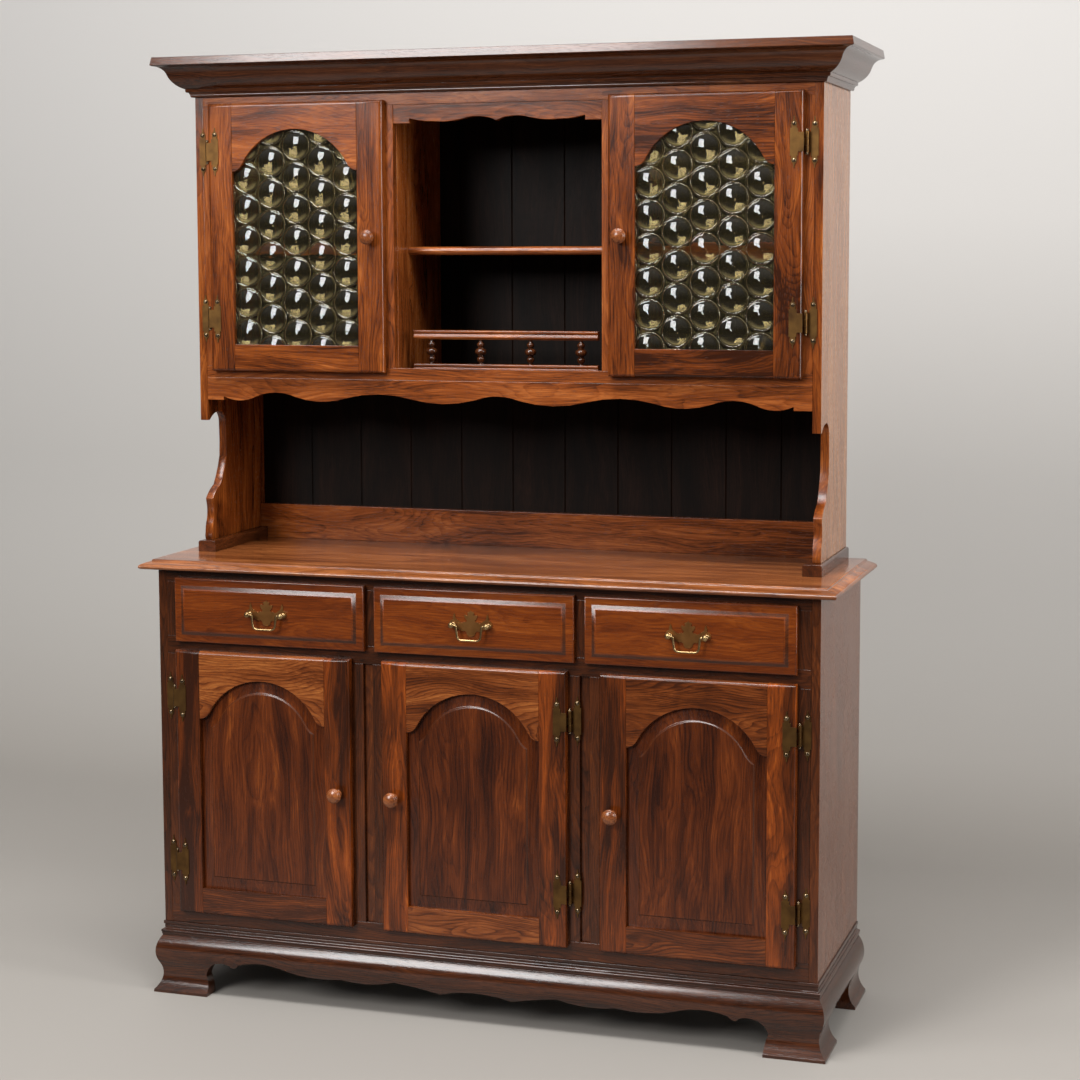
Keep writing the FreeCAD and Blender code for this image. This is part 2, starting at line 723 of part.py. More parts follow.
def hinge(side, pivot, face, middle):
    """One hinge: the frame's leaf with the pin fixed in it, and the door's leaf, whose knuckle turns on the pin.

    side is 1 where the door runs to the right of its hinge and -1 where it runs to the left. face is the
    frame's front there.
    """
    radius = dim["hinge_barrel"] / 2
    pin_radius = dim["hinge_pin"] / 2
    axis_y = face - dim["hinge_stand"]
    thin = dim["leaf_thick"]
    third = dim["knuckle_height"] / 3
    low = middle - dim["knuckle_height"] / 2

    near = pivot - radius * side
    web_left = near if side > 0 else near - thin
    members = [board("XZ", leaf_outline(near, dim["frame_leaf_web"], -side, middle), face - thin, thin)]
    for start in (low, low + third * 2):
        members.append(block(web_left, axis_y, start, thin, face - axis_y, third))
        members.append(rod(pivot, axis_y, start, radius, third, ROD_FACETS))
    pin_length = dim["knuckle_height"] + thin * 2
    members.append(rod(pivot, axis_y, low - thin, pin_radius, pin_length, PIN_FACETS))
    frame_leaf = fuse(members)

    door_y = face - door_face
    near = pivot + dim["hinge_offset"] * side
    web_left = near - thin if side > 0 else near
    near = near - thin * side
    members = [board("XZ", leaf_outline(near, dim["door_leaf_web"] + thin, side, middle), door_y - thin, thin)]
    start = low + third + dim["knuckle_air"]
    high = third - dim["knuckle_air"] * 2
    members.append(block(web_left, door_y - thin, start, thin, axis_y - door_y + thin, high))
    members.append(rod(pivot, axis_y, start, radius, high, ROD_FACETS))
    door_leaf = doc.addObject("Part::Cut", "Leaf")
    door_leaf.Base = fuse(members)
    door_leaf.Tool = bore(pivot, axis_y, start, pin_radius + dim["pin_air"], high)
    return frame_leaf, door_leaf


def make_doors():
    """Three panelled doors below and two glazed doors above, each with its knob and two hinges."""
    low_doors = (("left_base_door", -dim["door_pitch"], 1), ("middle_base_door", 0 * dim["door_pitch"], -1),
                 ("right_base_door", dim["door_pitch"], -1))
    high_doors = (("left_glass_door", -hutch_door_middle, 1), ("right_glass_door", hutch_door_middle, -1))
    on_frame = []
    for name, middle, side in low_doors:
        make_panelled_door(name, middle)
        on_frame += hang_door(name, middle, side, 0 * door_face, door_bottom, dim["door_height"])
    for name, middle, side in high_doors:
        make_glazed_door(name, middle)
        on_frame += hang_door(name, middle, side, hutch_front, hutch_door_bottom, dim["glazed_height"])
    keep_group("hinge_frame_leaves_and_pins", on_frame)


def make_panelled_door(name, middle):
    high = dim["door_height"]
    groove_start = -door_face + dim["panel_recess"] + dim["bevel_fall"] - dim["panel_clearance"]
    groove_thick = dim["tongue_thick"] + dim["panel_clearance"] * 2
    keep_group(name + "_frame", door_frame_members(high, groove_start, groove_thick), middle, 0, door_bottom)
    keep(name + "_raised_panel", raised_panel(high), middle, 0, door_bottom)


def make_glazed_door(name, middle):
    high = dim["glazed_height"]
    rebate_start = -door_face + dim["door_thick"] / 2
    pane_back = rebate_start + dim["glass_thick"]
    members = door_frame_members(high, rebate_start, dim["door_thick"] / 2)
    members.append(glass_bead(high, pane_back, -dim["door_gap"] - pane_back))
    keep_group(name + "_frame", members, middle, hutch_front, hutch_door_bottom)
    keep(name + "_bullseye_glass", glass_pane(high, rebate_start), middle, hutch_front, hutch_door_bottom)


def hang_door(name, middle, side, face, bottom, high):
    """Give a door its knob and the leaves of its two hinges, and return the leaves on the frame."""
    knob_x = middle + (dim["door_width"] / 2 - dim["stile_width"] / 2) * side
    keep(name + "_knob", knob(), knob_x, face - door_face, bottom + high / 2)
    pivot = middle - (dim["door_width"] / 2 + dim["hinge_offset"]) * side
    heights = (bottom + dim["lower_hinge_inset"], bottom + high - dim["upper_hinge_inset"])
    pairs = [hinge(side, pivot, face, height) for height in heights]
    keep_group(name + "_hinge_leaves", [door_leaf for frame_leaf, door_leaf in pairs])
    return [frame_leaf for frame_leaf, door_leaf in pairs]


# --- drawers ---

def drawer_front():
    """A drawer front about its lower middle: a step up to a flat field inside a sloping border."""
    half = dim["drawer_width"] / 2
    high = dim["drawer_height"]
    face = -door_face
    border = dim["border_width"]
    body = new_body()
    back_part = face + dim["field_step"] + dim["border_fall"]
    pad(body, "XZ", rectangle(-half, half, 0, high), back_part, -dim["door_gap"] - back_part)

    def outer(centre, box):
        return abs(centre.y - number(back_part)) < 0.01

    round_edges(body, dim["border_fall"], outer)
    lip = dim["border_fall"]
    inner = rectangle(-half + border, half - border, border, high - border)
    loft(body, "XZ", rectangle(-half + lip, half - lip, lip, high - lip), back_part, inner, face + dim["field_step"])
    pad(body, "XZ", inner, face, dim["field_step"])
    return body


def drawer_box():
    """Sides, back, inner front and bottom of a drawer, about the middle of its front's lower edge."""
    side = dim["drawer_side_thick"]
    half = drawer_opening / 2 - dim["drawer_side_air"]
    low = dim["overlay"] + dim["running_air"]
    high = dim["drawer_side_height"]
    depth = dim["drawer_depth"]
    front = -dim["door_gap"]
    inside = half * 2 - side * 2
    bottom = low + dim["drawer_bottom_lift"]
    return [
        block(-half, front, low, side, depth, high),
        block(half - side, front, low, side, depth, high),
        block(-half + side, front, low, inside, side, high),
        block(-half + side, front + depth - side, low, inside, side, high),
        block(-half + side, front + side, bottom, inside, depth - side * 2, dim["drawer_bottom_thick"]),
    ]


def pull_plate_outline():
    """A bat-wing plate about the middle between its posts: lobed below, winged at the sides, with a finial above."""
    post = dim["pull_spacing"] / 2
    lobe = [(post + step[0],) + step[1:] for step in PLATE_LOBE]
    half = list(PLATE_FOOT) + lobe + list(PLATE_HEAD)
    steps = mirrored(half)
    return [steps.pop()] + steps[1:]


def bail():
    """A bail whose ends lie in the posts: the rod turns down, out to the corners and across."""
    half = dim["pull_spacing"] / 2
    drop = dim["bail_drop"]
    left = [(-half, 0), (-half + 9, 0), (-half + 12, -drop * 0.15), (-half + 13, -drop * 0.7), (-half + 21, -drop)]
    body = new_body()
    path = new_sketch(body, "XZ")
    draw(path, left + [(-x, z) for x, z in reversed(left)], closed=False)
    ring = new_sketch(body, "YZ", -half)
    radius = dim["bail_wire"] / 2
    angles = [2 * math.pi * index / ROD_FACETS for index in range(ROD_FACETS)]
    draw(ring, [(radius * math.cos(angle), radius * math.sin(angle)) for angle in angles])
    feature = body.newObject("PartDesign::AdditivePipe", "Bail")
    feature.Profile = ring
    feature.Spine = path
    feature.Transition = "Right corner"
    return body


def pull_post(x, y, z):
    """A turned post with a ball head, bored for the bail's end."""
    ball = dim["post_ball"] / 2
    stand = dim["pull_stand"]
    post = doc.addObject("Part::Cut", "Post")
    post.Base = turning(x, y, z, ball, stand + ball * 0.87, POST, POST_FACETS, to_front=True)
    hole_start = x - dim["bail_end"] if number(x) < 0 else x - ball - dim["bail_end"]
    post.Tool = bore(hole_start, y - stand, z, dim["bail_bore"] / 2, ball + dim["bail_end"] * 2, along_x=True)
    return post


def make_drawers():
    """Three drawers over the doors, each with a pull whose bail swings."""
    for name, middle in (("left", -dim["drawer_pitch"]), ("middle", 0 * dim["drawer_pitch"]),
                         ("right", dim["drawer_pitch"])):
        height = dim["drawer_height"] / 2
        face = -door_face
        keep(name + "_drawer_front", drawer_front(), middle, 0, drawer_bottom)
        keep_group(name + "_drawer_box", drawer_box(), middle, 0, drawer_bottom)
        plate = board("XZ", pull_plate_outline(), face - dim["pull_plate_thick"], dim["pull_plate_thick"])
        plate.Placement.Base = vector(0, 0, height)
        bind(plate, "Placement.Base.z", height)
        half = dim["pull_spacing"] / 2
        start = face - dim["pull_plate_thick"]
        posts = [pull_post(-half, start, height), pull_post(half, start, height)]
        keep_group(name + "_pull_plate_and_posts", [plate] + posts, middle, 0, drawer_bottom)
        keep(name + "_pull_bail", bail(), middle, start - dim["pull_stand"], drawer_bottom + height)


# --- base cabinet ---

def make_base_case():
    deep = dim["case_depth"]
    thick = dim["panel_thick"]
    low = dim["plinth_height"]
    frame = dim["frame_thick"]
    inside_back = deep - dim["back_thick"]
    sides = [block(x, 0, low, thick, deep, dim["case_height"]) for x in (-half_case, half_inside)]
    keep_group("base_sides", sides)
    bottom = block(-half_inside, frame, low, half_inside * 2, inside_back - frame, thick)
    keep("base_bottom", bottom, -half_inside, frame, low)
    back = block(-half_inside, inside_back, low, half_inside * 2, dim["back_thick"], dim["case_height"])
    keep("base_back", back, -half_inside, inside_back, low)

    rail_low = low + dim["door_lift"] + dim["overlay"]
    rail_high = drawer_top - dim["overlay"]
    rails = []
    for bottom_edge, top_edge in ((low, rail_low), (middle_rail_low, middle_rail_high), (rail_high, case_top)):
        rails.append(block(-half_inside, 0, bottom_edge, half_inside * 2, frame, top_edge - bottom_edge))
    keep_group("base_frame_rails", rails)

    part_half = dim["partition_thick"] / 2
    gap = (dim["door_pitch"] - dim["door_width"]) / 2 + dim["overlay"]
    stiles = []
    outer = dim["door_pitch"] + dim["door_width"] / 2 - dim["overlay"]
    for left, right in ((outer, half_inside), (partition_middle + part_half, partition_middle + gap),
                        (partition_middle - gap, partition_middle - part_half)):
        stiles.append(block(left, 0, rail_low, right - left, frame, middle_rail_low - rail_low))
        stiles.append(block(-right, 0, rail_low, right - left, frame, middle_rail_low - rail_low))
    half_gap = drawer_split - drawer_opening / 2
    outer = dim["drawer_pitch"] + drawer_opening / 2
    for left, right in ((outer, half_inside), (drawer_split - half_gap, drawer_split + half_gap)):
        stiles.append(block(left, 0, middle_rail_high, right - left, frame, rail_high - middle_rail_high))
        stiles.append(block(-right, 0, middle_rail_high, right - left, frame, rail_high - middle_rail_high))
    keep_group("base_frame_stiles", stiles)

    floor = low + thick
    setback = dim["partition_setback"]
    steps = [(inside_back, floor), (inside_back, case_top), (frame, case_top), (frame, middle_rail_low)]
    steps += [(setback, middle_rail_low), (setback, rail_low), (frame, rail_low), (frame, floor)]
    steps.reverse()
    partition = board("YZ", steps, partition_middle - part_half, dim["partition_thick"])
    keep_group("base_partitions", [partition, mirror(partition)])

    shelf_low = low + dim["shelf_height"] - thick
    shelf_front = dim["shelf_setback"]
    shelf_deep = inside_back - shelf_front
    near = partition_middle - part_half
    far = partition_middle + part_half
    shelves = [block(-near, shelf_front, shelf_low, near * 2, shelf_deep, thick)]
    for left in (far, -half_inside):
        shelves.append(block(left, shelf_front, shelf_low, half_inside - far, shelf_deep, thick))
    keep_group("base_shelves", shelves)
    make_drawer_runners(near, far)
    make_catches()


def make_drawer_runners(near, far):
    """An L-shaped runner under each side of each drawer, with its guide beside the drawer."""
    start = dim["frame_thick"]
    length = dim["case_depth"] - dim["back_thick"] - start
    box_half = drawer_opening / 2 - dim["drawer_side_air"]
    low = middle_rail_high - dim["runner_thick"]
    top = middle_rail_high
    guide_top = top + dim["guide_height"]

    def runner(wall, box_side, inward):
        """wall is the board that carries the runner, and inward points from it to the drawer."""
        guide = box_side - (dim["drawer_side_air"] / 2) * inward
        edge = box_side + dim["runner_bearing"] * inward
        steps = [(wall, low), (edge, low), (edge, top), (guide, top), (guide, guide_top), (wall, guide_top)]
        if inward < 0:
            steps.reverse()
        return board("XZ", steps, start, length)

    walls = (
        (-near, -box_half, 1),
        (near, box_half, -1),
        (far, dim["drawer_pitch"] - box_half, 1),
        (half_inside, dim["drawer_pitch"] + box_half, -1),
        (-far, -dim["drawer_pitch"] + box_half, -1),
        (-half_inside, -dim["drawer_pitch"] - box_half, 1),
    )
    keep_group("drawer_runners", [runner(*wall) for wall in walls])


def make_catches():
    """A catch under the rail above each door, beside the door's free edge."""
    wide = dim["catch_width"]
    high = dim["catch_height"]
    deep = dim["frame_thick"]
    inset = dim["door_width"] / 2 - dim["overlay"] - dim["stile_width"] - wide / 2
    catches = []
    for middle, side in ((-dim["door_pitch"], 1), (0 * wide, -1), (dim["door_pitch"], -1)):
        catches.append(block(middle + inset * side - wide / 2, 1, middle_rail_low - high, wide, deep, high))
    for side in (1, -1):
        middle = -hutch_door_middle * side + inset * side
        catches.append(block(middle - wide / 2, hutch_front + 1, hutch_upper_rail - high, wide, deep, high))
    keep_group("door_catches", catches)


def make_worktop():
    """A slab whose front and ends carry the same moulded edge, mitred where they meet."""
    half = half_case + dim["top_side_overhang"]
    front = dim["top_overhang"]
    back = dim["case_depth"]
    low = case_top
    moulded = [(step[0], worktop + step[1]) + step[2:] for step in NOSE[:-1]]
    moulded.append((NOSE[-1][0], low, NOSE[-1][2]))
    steps = [(back, worktop)] + [(step[0] - front, step[1]) + tuple(-rise for rise in step[2:]) for step in moulded]
    body = board("YZ", steps + [(back, low)], -half, half * 2)
    waste = [(half - step[0], step[1]) + tuple(step[2:]) for step in moulded]
    waste += [(waste[-1][0], low - OVERCUT), (half + OVERCUT, low - OVERCUT), (half + OVERCUT, worktop + OVERCUT)]
    waste.append((waste[0][0], worktop + OVERCUT))
    for side in (1, -1):
        end = [(step[0] * side, step[1]) + tuple(rise * side for rise in step[2:]) for step in waste]
        cut(body, "XZ", end, -front - OVERCUT, back + front + OVERCUT * 2)
    keep("worktop", body)


# --- mitred mouldings: the plinth, its cap and the cornice ---

def mitred_front(profile, half, front, inner, reach, low, high):
    """A moulding along the front, mitred at both ends. profile is (reach, height[, rise]) beyond the case."""
    steps = [(front - point[0], point[1]) + tuple(-rise for rise in point[2:]) for point in profile]
    far = half + reach
    body = board("YZ", steps, -far, far * 2)
    waste = [(half - inner - OVERCUT, front + inner + OVERCUT), (far + OVERCUT, front - reach - OVERCUT)]
    waste.append((far + OVERCUT, front + inner + OVERCUT))
    for side in (1, -1):
        cut(body, "XY", [(x * side, y) for x, y in waste], low - OVERCUT, high - low + OVERCUT * 2)
    return body


def mitred_side(profile, half, front, inner, reach, low, high):
    """A moulding along the right side, mitred at its front end."""
    steps = [(half + point[0],) + tuple(point[1:]) for point in profile]
    body = board("XZ", steps, front - reach, dim["case_depth"] - front + reach)
    near = half - inner - OVERCUT
    waste = [(near, front + inner + OVERCUT), (near, front - reach - OVERCUT)]
    waste.append((half + reach + OVERCUT, front - reach - OVERCUT))
    cut(body, "XY", waste, low - OVERCUT, high - low + OVERCUT * 2)
    return body


def foot_curve(toe, towards):
    """The inner edge of a bracket foot, from its toe up and over the arch to the apron's point."""
    return [(toe + across * towards, up * 1.0) + tuple(rise * towards for rise in arc) for across, up, *arc in FOOT]


def make_plinth():
    """The cap moulding, and ogee boards that are sawn to bracket feet and a scrolled apron."""
    half = half_case
    inner = dim["plinth_thick"]
    top = dim["plinth_height"]
    cap_low = top - dim["cap_height"]
    turn = dim["shoulder_reach"]
    toe = dim["foot_reach"]
    cap = [(-inner, cap_low)] + [(step[0], cap_low + step[1]) + step[2:] for step in CAP] + [(-inner, top)]
    front_cap = mitred_front(cap, half, 0, inner, dim["cap_reach"] + OVERCUT, cap_low, top)
    side_cap = mitred_side(cap, half, 0, inner, dim["cap_reach"] + OVERCUT, cap_low, top)
    keep_group("plinth_cap_moulding", [front_cap, side_cap, mirror(side_cap)])

    profile = [(-inner, 0), (toe, 0), (toe, dim["toe_height"]), (turn, cap_low / 2, -dim["ogee_bulge"])]
    profile += [(turn - 4, cap_low, dim["ogee_bulge"]), (-inner, cap_low)]
    front = mitred_front(profile, half, 0, inner, toe + 1, 0 * toe, cap_low)
    side = mitred_side(profile, half, 0, inner, toe + 1, 0 * toe, cap_low)

    toe_x = half + toe - dim["foot_width"]
    scroll = [(toe_x, -OVERCUT)] + foot_curve(toe_x, -1)
    scroll += [(toe_x * share, dim["apron_clear"] + up, rise) for share, up, rise in APRON]
    cut(front, "XZ", mirrored(scroll, APRON_SWELL), -toe - OVERCUT, inner + toe + OVERCUT * 2)
    keep("plinth_front", front)

    near_toe = dim["foot_width"] - toe
    far_toe = dim["case_depth"] - dim["foot_width"]
    far_foot = backwards(foot_curve(far_toe, -1))
    far_foot[0] = far_foot[0][:2]
    steps = [(near_toe, -OVERCUT)] + foot_curve(near_toe, 1) + far_foot + [(far_toe, -OVERCUT)]
    cut(side, "YZ", steps, half - inner - OVERCUT, inner + toe + OVERCUT * 2)
    keep_group("plinth_sides", [side, mirror(side)])
    make_plinth_blocks(half - inner, dim["plinth_height"])


def make_plinth_blocks(inside, top):
    """The plain rail and brackets at the back, and a glue block in each corner."""
    thick = dim["plinth_thick"]
    back = dim["case_depth"] - thick
    low = dim["apron_clear"]
    width = dim["foot_width"] - thick
    pieces = [block(-inside, back, low, inside * 2, thick, top - low)]
    bracket = board("XZ", [(inside - width / 2, 0), (inside, 0), (inside, low), (inside - width, low)], back, thick)
    pieces += [bracket, mirror(bracket)]
    size = thick * 1.8
    foot = dim["toe_height"]
    for left in (-inside, inside - size):
        for near in (thick, back - size):
            pieces.append(block(left, near, foot, size, size, top - foot))
    keep_group("plinth_back_rail_and_blocks", pieces)


def make_cornice():
    """A stepped foot, a deep cove and a leaning top band, mitred round the front and both sides."""
    half = half_hutch
    low = hutch_top
    reach = dim["cornice_reach"]
    inner = dim["cornice_thick"]
    top = low + dim["cornice_height"]
    fascia = top - dim["fascia_height"]
    band = reach - dim["fascia_lean"]
    profile = [(-inner, low)] + [(step[0], low + step[1]) + step[2:] for step in CORNICE_FOOT]
    profile += [(reach * 0.57, low + dim["cornice_height"] * 0.476, 3.6), (reach - 1, fascia - 1, -5.2)]
    profile += [(reach, fascia), (band, top), (band - 16, top), (-inner, low + 30)]
    front = mitred_front(profile, half, hutch_front, inner, reach + 1, low, top)
    side = mitred_side(profile, half, hutch_front, inner, reach + 1, low, top)
    keep_group("cornice", [front, side, mirror(side)])


# --- hutch ---

def make_hutch_case():
    deep = dim["case_depth"]
    thick = dim["panel_thick"]
    frame = dim["frame_thick"]
    front = hutch_front
    foot_top = worktop + dim["runner_foot"]
    step = worktop + dim["side_step"]
    steps = [(deep, foot_top), (deep, hutch_top), (front, hutch_top)]
    steps += [(front + point[0], step + point[1]) + point[2:] for point in SIDE_SCROLL[:-1]]
    steps.append((front + SIDE_SCROLL[-1][0], foot_top, SIDE_SCROLL[-1][2]))
    side = board("YZ", backwards(steps), half_hutch_inside, thick)
    keep_group("hutch_sides", [side, mirror(side)])

    lap = dim["runner_foot_width"] / 2
    centre = half_hutch_inside + thick / 2 - 5
    foot_front = front - dim["runner_foot_front"]
    soft = 5
    steps = [(centre - lap, worktop), (centre + lap, worktop), (centre + lap, foot_top - soft)]
    steps += [(centre + lap - soft, foot_top, 1.46), (centre - lap + soft, foot_top), (centre - lap, foot_top - soft, 1.46)]
    foot = board("XZ", steps, foot_front, deep - foot_front)
    keep_group("hutch_runners", [foot, mirror(foot)])

    boards_front = hutch_boards
    deck_deep = boards_front - hutch_inner
    inside = half_hutch_inside
    decks = [block(-inside, hutch_inner, deck_top - thick, inside * 2, deck_deep, thick)]
    decks.append(block(-inside, hutch_inner, hutch_top - thick, inside * 2, deck_deep, thick))
    keep_group("hutch_decks", decks)
    tall = hutch_top - thick - deck_top
    wall = dim["divider_thick"]
    walls = [block(left, hutch_inner, deck_top, wall, deck_deep, tall)
             for left in (dim["centre_half"], -dim["centre_half"] - wall)]
    keep_group("hutch_dividers", walls)

    shelf_low = worktop + dim["hutch_shelf_top"] - thick
    shelf_front = front + dim["display_shelf_setback"]
    nosed = [(boards_front, shelf_low), (boards_front, shelf_low + thick), (shelf_front + thick / 2, shelf_low + thick)]
    nosed.append((shelf_front + thick / 2, shelf_low, thick / 2 - 0.01))
    middle = board("YZ", backwards(nosed), -dim["centre_half"], dim["centre_half"] * 2)
    side_front = front + dim["side_shelf_setback"]
    shelves = [middle]
    for left in (dim["centre_half"] + wall, -inside):
        shelf_long = inside - dim["centre_half"] - wall
        shelves.append(block(left, side_front, shelf_low, shelf_long, boards_front - side_front, thick))
    keep_group("hutch_shelves", shelves)

    rail_low = hutch_rail_top - dim["hutch_rail"]
    members = [block(-inside, front, rail_low, inside * 2, frame, dim["hutch_rail"])]
    members.append(block(-inside, front, hutch_upper_rail, inside * 2, frame, hutch_top - hutch_upper_rail))
    tall = hutch_upper_rail - hutch_rail_top
    outer = dim["hutch_door_edge"] - dim["overlay"]
    inner = dim["hutch_door_edge"] - dim["door_width"] + dim["overlay"]
    for left, right in ((outer, inside), (dim["centre_half"], inner)):
        members.append(block(left, front, hutch_rail_top, right - left, frame, tall))
        members.append(block(-right, front, hutch_rail_top, right - left, frame, tall))
    keep_group("hutch_face_frame", members)
    make_valances(rail_low)
    make_hutch_back(foot_top, boards_front)


def make_valances(rail_low):
    """The scrolled boards under the glazed doors and over the middle bay."""
    front = hutch_front
    inside = half_hutch_inside
    points = rail_low - dim["valance_drop"]
    wave = dim["valance_wave"] / 2
    x = inside - dim["valance_end"]
    run = x / sum(VALANCE_WAVES)
    half = [(inside, rail_low), (inside, points), (x, points), (x, points + dim["valance_step"])]
    for index, length in enumerate(VALANCE_WAVES[:-1]):
        x = x - run * length
        half.append((x, points + wave, wave if index % 2 else -wave))
    keep("lower_valance", board("XZ", backwards(mirrored(half, wave)), front, dim["panel_thick"]))

    wide = dim["centre_half"]
    top = hutch_upper_rail
    low = top - dim["centre_valance_drop"]
    half = [(wide, top)] + [(wide * share, low + up) + tuple(arc) for share, up, *arc in BAY_VALANCE]
    keep("centre_valance", board("XZ", backwards(mirrored(half)), front + 2, dim["panel_thick"] - 3))


def make_hutch_back(foot_top, boards_front):
    """Tongued boards, and the rail in front of them on the worktop."""
    inside = half_hutch_inside
    lap = dim["tongue_size"]
    pitch = inside * 2 / dim["board_count"]
    count = int(number(dim["board_count"]))
    back = dim["case_depth"]
    inner = boards_front + (dim["board_thick"] - lap) / 2
    chamfer = 1.5
    boards = []
    for index in range(count):
        left = -inside + pitch * index
        right = left + pitch
        steps = [(left + chamfer, boards_front), (right - chamfer, boards_front), (right, boards_front + chamfer)]
        if index < count - 1:
            steps += [(right, inner), (right + lap, inner), (right + lap, inner + lap), (right, inner + lap)]
        steps += [(right, back), (left, back)]
        if index:
            steps += [(left, inner + lap), (left + lap, inner + lap), (left + lap, inner), (left, inner)]
        steps.append((left, boards_front + chamfer))
        boards.append(board("XY", steps, foot_top, hutch_top - foot_top))
    keep_group("hutch_back_boards", boards)

    notch = half_hutch_inside + dim["panel_thick"] / 2 - 5 - dim["runner_foot_width"] / 2
    top = worktop + dim["back_rail_height"]
    steps = [(-notch, worktop), (notch, worktop), (notch, foot_top), (inside, foot_top), (inside, top)]
    steps += [(-inside, top), (-inside, foot_top), (-notch, foot_top)]
    keep("niche_back_rail", board("XZ", steps, boards_front - dim["frame_thick"], dim["frame_thick"]))


def spindle(x, y, z):
    """A turned spindle that stands on a point: a vase, a ball and a vase."""
    return turning(x, y, z, dim["spindle_width"] / 2, dim["spindle_height"], SPINDLE, POST_FACETS)


def make_gallery():
    """A low plate rail on the deck of the middle bay: two moulded rails with four spindles between them."""
    deep = dim["gallery_depth"]
    tall = dim["gallery_rail"]
    middle = hutch_front + dim["gallery_setback"]
    low = deck_top
    front = middle - deep / 2
    back = middle + deep / 2
    pieces = []
    for base in (low, low + tall + dim["spindle_height"]):
        steps = [(back, base), (back, base + tall), (front + 3, base + tall), (front + 3, base + tall * 0.68)]
        steps += [(front + 3, base + tall * 0.08, tall * 0.16), (front + 3, base)]
        pieces.append(board("YZ", backwards(steps), -dim["gallery_half"], dim["gallery_half"] * 2))
    count = 4
    for index in range(count):
        pieces.append(spindle(dim["spindle_pitch"] * (index - (count - 1) / 2), middle, low + tall))
    keep_group("plate_gallery", pieces)


def check_and_write():
    """Stop on any failed object or unsound shape, then write one file for each node."""
    doc.recompute()
    for thing in doc.Objects:
        if "Invalid" in thing.State or "Error" in thing.State:
            raise RuntimeError("%s (%s) failed: %s" % (thing.Name, thing.Label, thing.State))
    total = 0
    for thing in nodes:
        shape = thing.Shape
        if shape.isNull() or not shape.isValid() or not shape.Solids:
            raise RuntimeError("unsound shape: %s" % thing.Label)
        total += len(shape.Solids)
    os.makedirs("parts", exist_ok=True)
    for thing in nodes:
        thing.Shape.exportStep(os.path.join("parts", thing.Label + ".step"))
    box = Part.makeCompound([thing.Shape for thing in nodes]).BoundBox
    print("%d nodes, %d solids, box %s" % (len(nodes), total, box))


make_base_case()
make_worktop()
make_plinth()
make_hutch_case()
make_gallery()
make_cornice()
make_drawers()
make_doors()
check_and_write()
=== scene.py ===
"""A stained wood dresser with its hutch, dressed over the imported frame.

Outlines are written in millimetres in the frame's own axes: X to the right, Y to the back, Z up.
"""
import json
import logging
import math
import random
from dataclasses import dataclass
from enum import Enum
from typing import Callable, Iterable, Sequence

import bmesh
import bpy
from mathutils import Euler, Matrix, Vector

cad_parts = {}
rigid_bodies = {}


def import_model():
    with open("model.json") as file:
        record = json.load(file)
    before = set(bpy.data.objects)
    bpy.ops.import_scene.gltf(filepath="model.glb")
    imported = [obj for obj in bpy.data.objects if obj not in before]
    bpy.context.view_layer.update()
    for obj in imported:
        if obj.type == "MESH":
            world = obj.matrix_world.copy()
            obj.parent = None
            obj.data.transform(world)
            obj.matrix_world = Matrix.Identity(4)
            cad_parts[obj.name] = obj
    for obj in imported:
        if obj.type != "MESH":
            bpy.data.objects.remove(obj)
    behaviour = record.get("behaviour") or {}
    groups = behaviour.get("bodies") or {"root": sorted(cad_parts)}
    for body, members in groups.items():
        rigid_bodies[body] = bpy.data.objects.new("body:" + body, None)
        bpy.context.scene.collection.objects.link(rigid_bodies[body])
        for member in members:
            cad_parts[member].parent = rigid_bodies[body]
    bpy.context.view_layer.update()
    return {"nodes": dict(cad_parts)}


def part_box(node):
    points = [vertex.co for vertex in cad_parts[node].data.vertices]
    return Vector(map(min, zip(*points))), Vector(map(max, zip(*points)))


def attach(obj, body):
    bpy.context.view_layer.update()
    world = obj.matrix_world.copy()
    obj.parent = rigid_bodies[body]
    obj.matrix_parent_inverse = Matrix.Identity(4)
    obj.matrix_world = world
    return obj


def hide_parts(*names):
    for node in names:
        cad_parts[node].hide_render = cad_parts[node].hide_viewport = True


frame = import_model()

log = logging.getLogger("dresser")

MM = 0.001
MERGE = 0.00001
ARC_STEP = math.radians(7.5)
ROUND_STEPS = 40

Step = tuple[float, ...]
Outline = list[Step]


# --- places and outlines ---


class Plane(Enum):
    """A drawing plane: the axes of its width, its height and its thickness, and what turns width to height."""

    FRONT = (0, 2, 1, -1)
    SIDE = (1, 2, 0, 1)
    TOP = (0, 1, 2, 1)

    def point(self, u: float, v: float, w: float) -> Vector:
        """A point of the plane, in metres, from millimetres."""
        place = [0.0, 0.0, 0.0]
        place[self.value[0]] = u * MM
        place[self.value[1]] = v * MM
        place[self.value[2]] = w * MM
        return Vector(place)

    @property
    def turn(self) -> Vector:
        """The axis that turns width towards height."""
        axis = [0.0, 0.0, 0.0]
        axis[self.value[2]] = float(self.value[3])
        return Vector(axis)


@dataclass(frozen=True)
class Extent:
    """The room that a CAD node takes, in millimetres."""

    left: float
    right: float
    front: float
    back: float
    low: float
    high: float

    @property
    def middle(self) -> float:
        """Middle of the width."""
        return (self.left + self.right) / 2

    @property
    def centre(self) -> Vector:
        """Middle of the room."""
        return Vector((self.middle, (self.front + self.back) / 2, (self.low + self.high) / 2))


def extent(node: str) -> Extent:
    """The room that a CAD node takes, in millimetres."""
    low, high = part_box(node)
    return Extent(*(value / MM for value in (low.x, high.x, low.y, high.y, low.z, high.z)))


def rectangle(left: float, right: float, low: float, high: float) -> Outline:
    """A rectangle's corners."""
    return [(left, low), (right, low), (right, high), (left, high)]


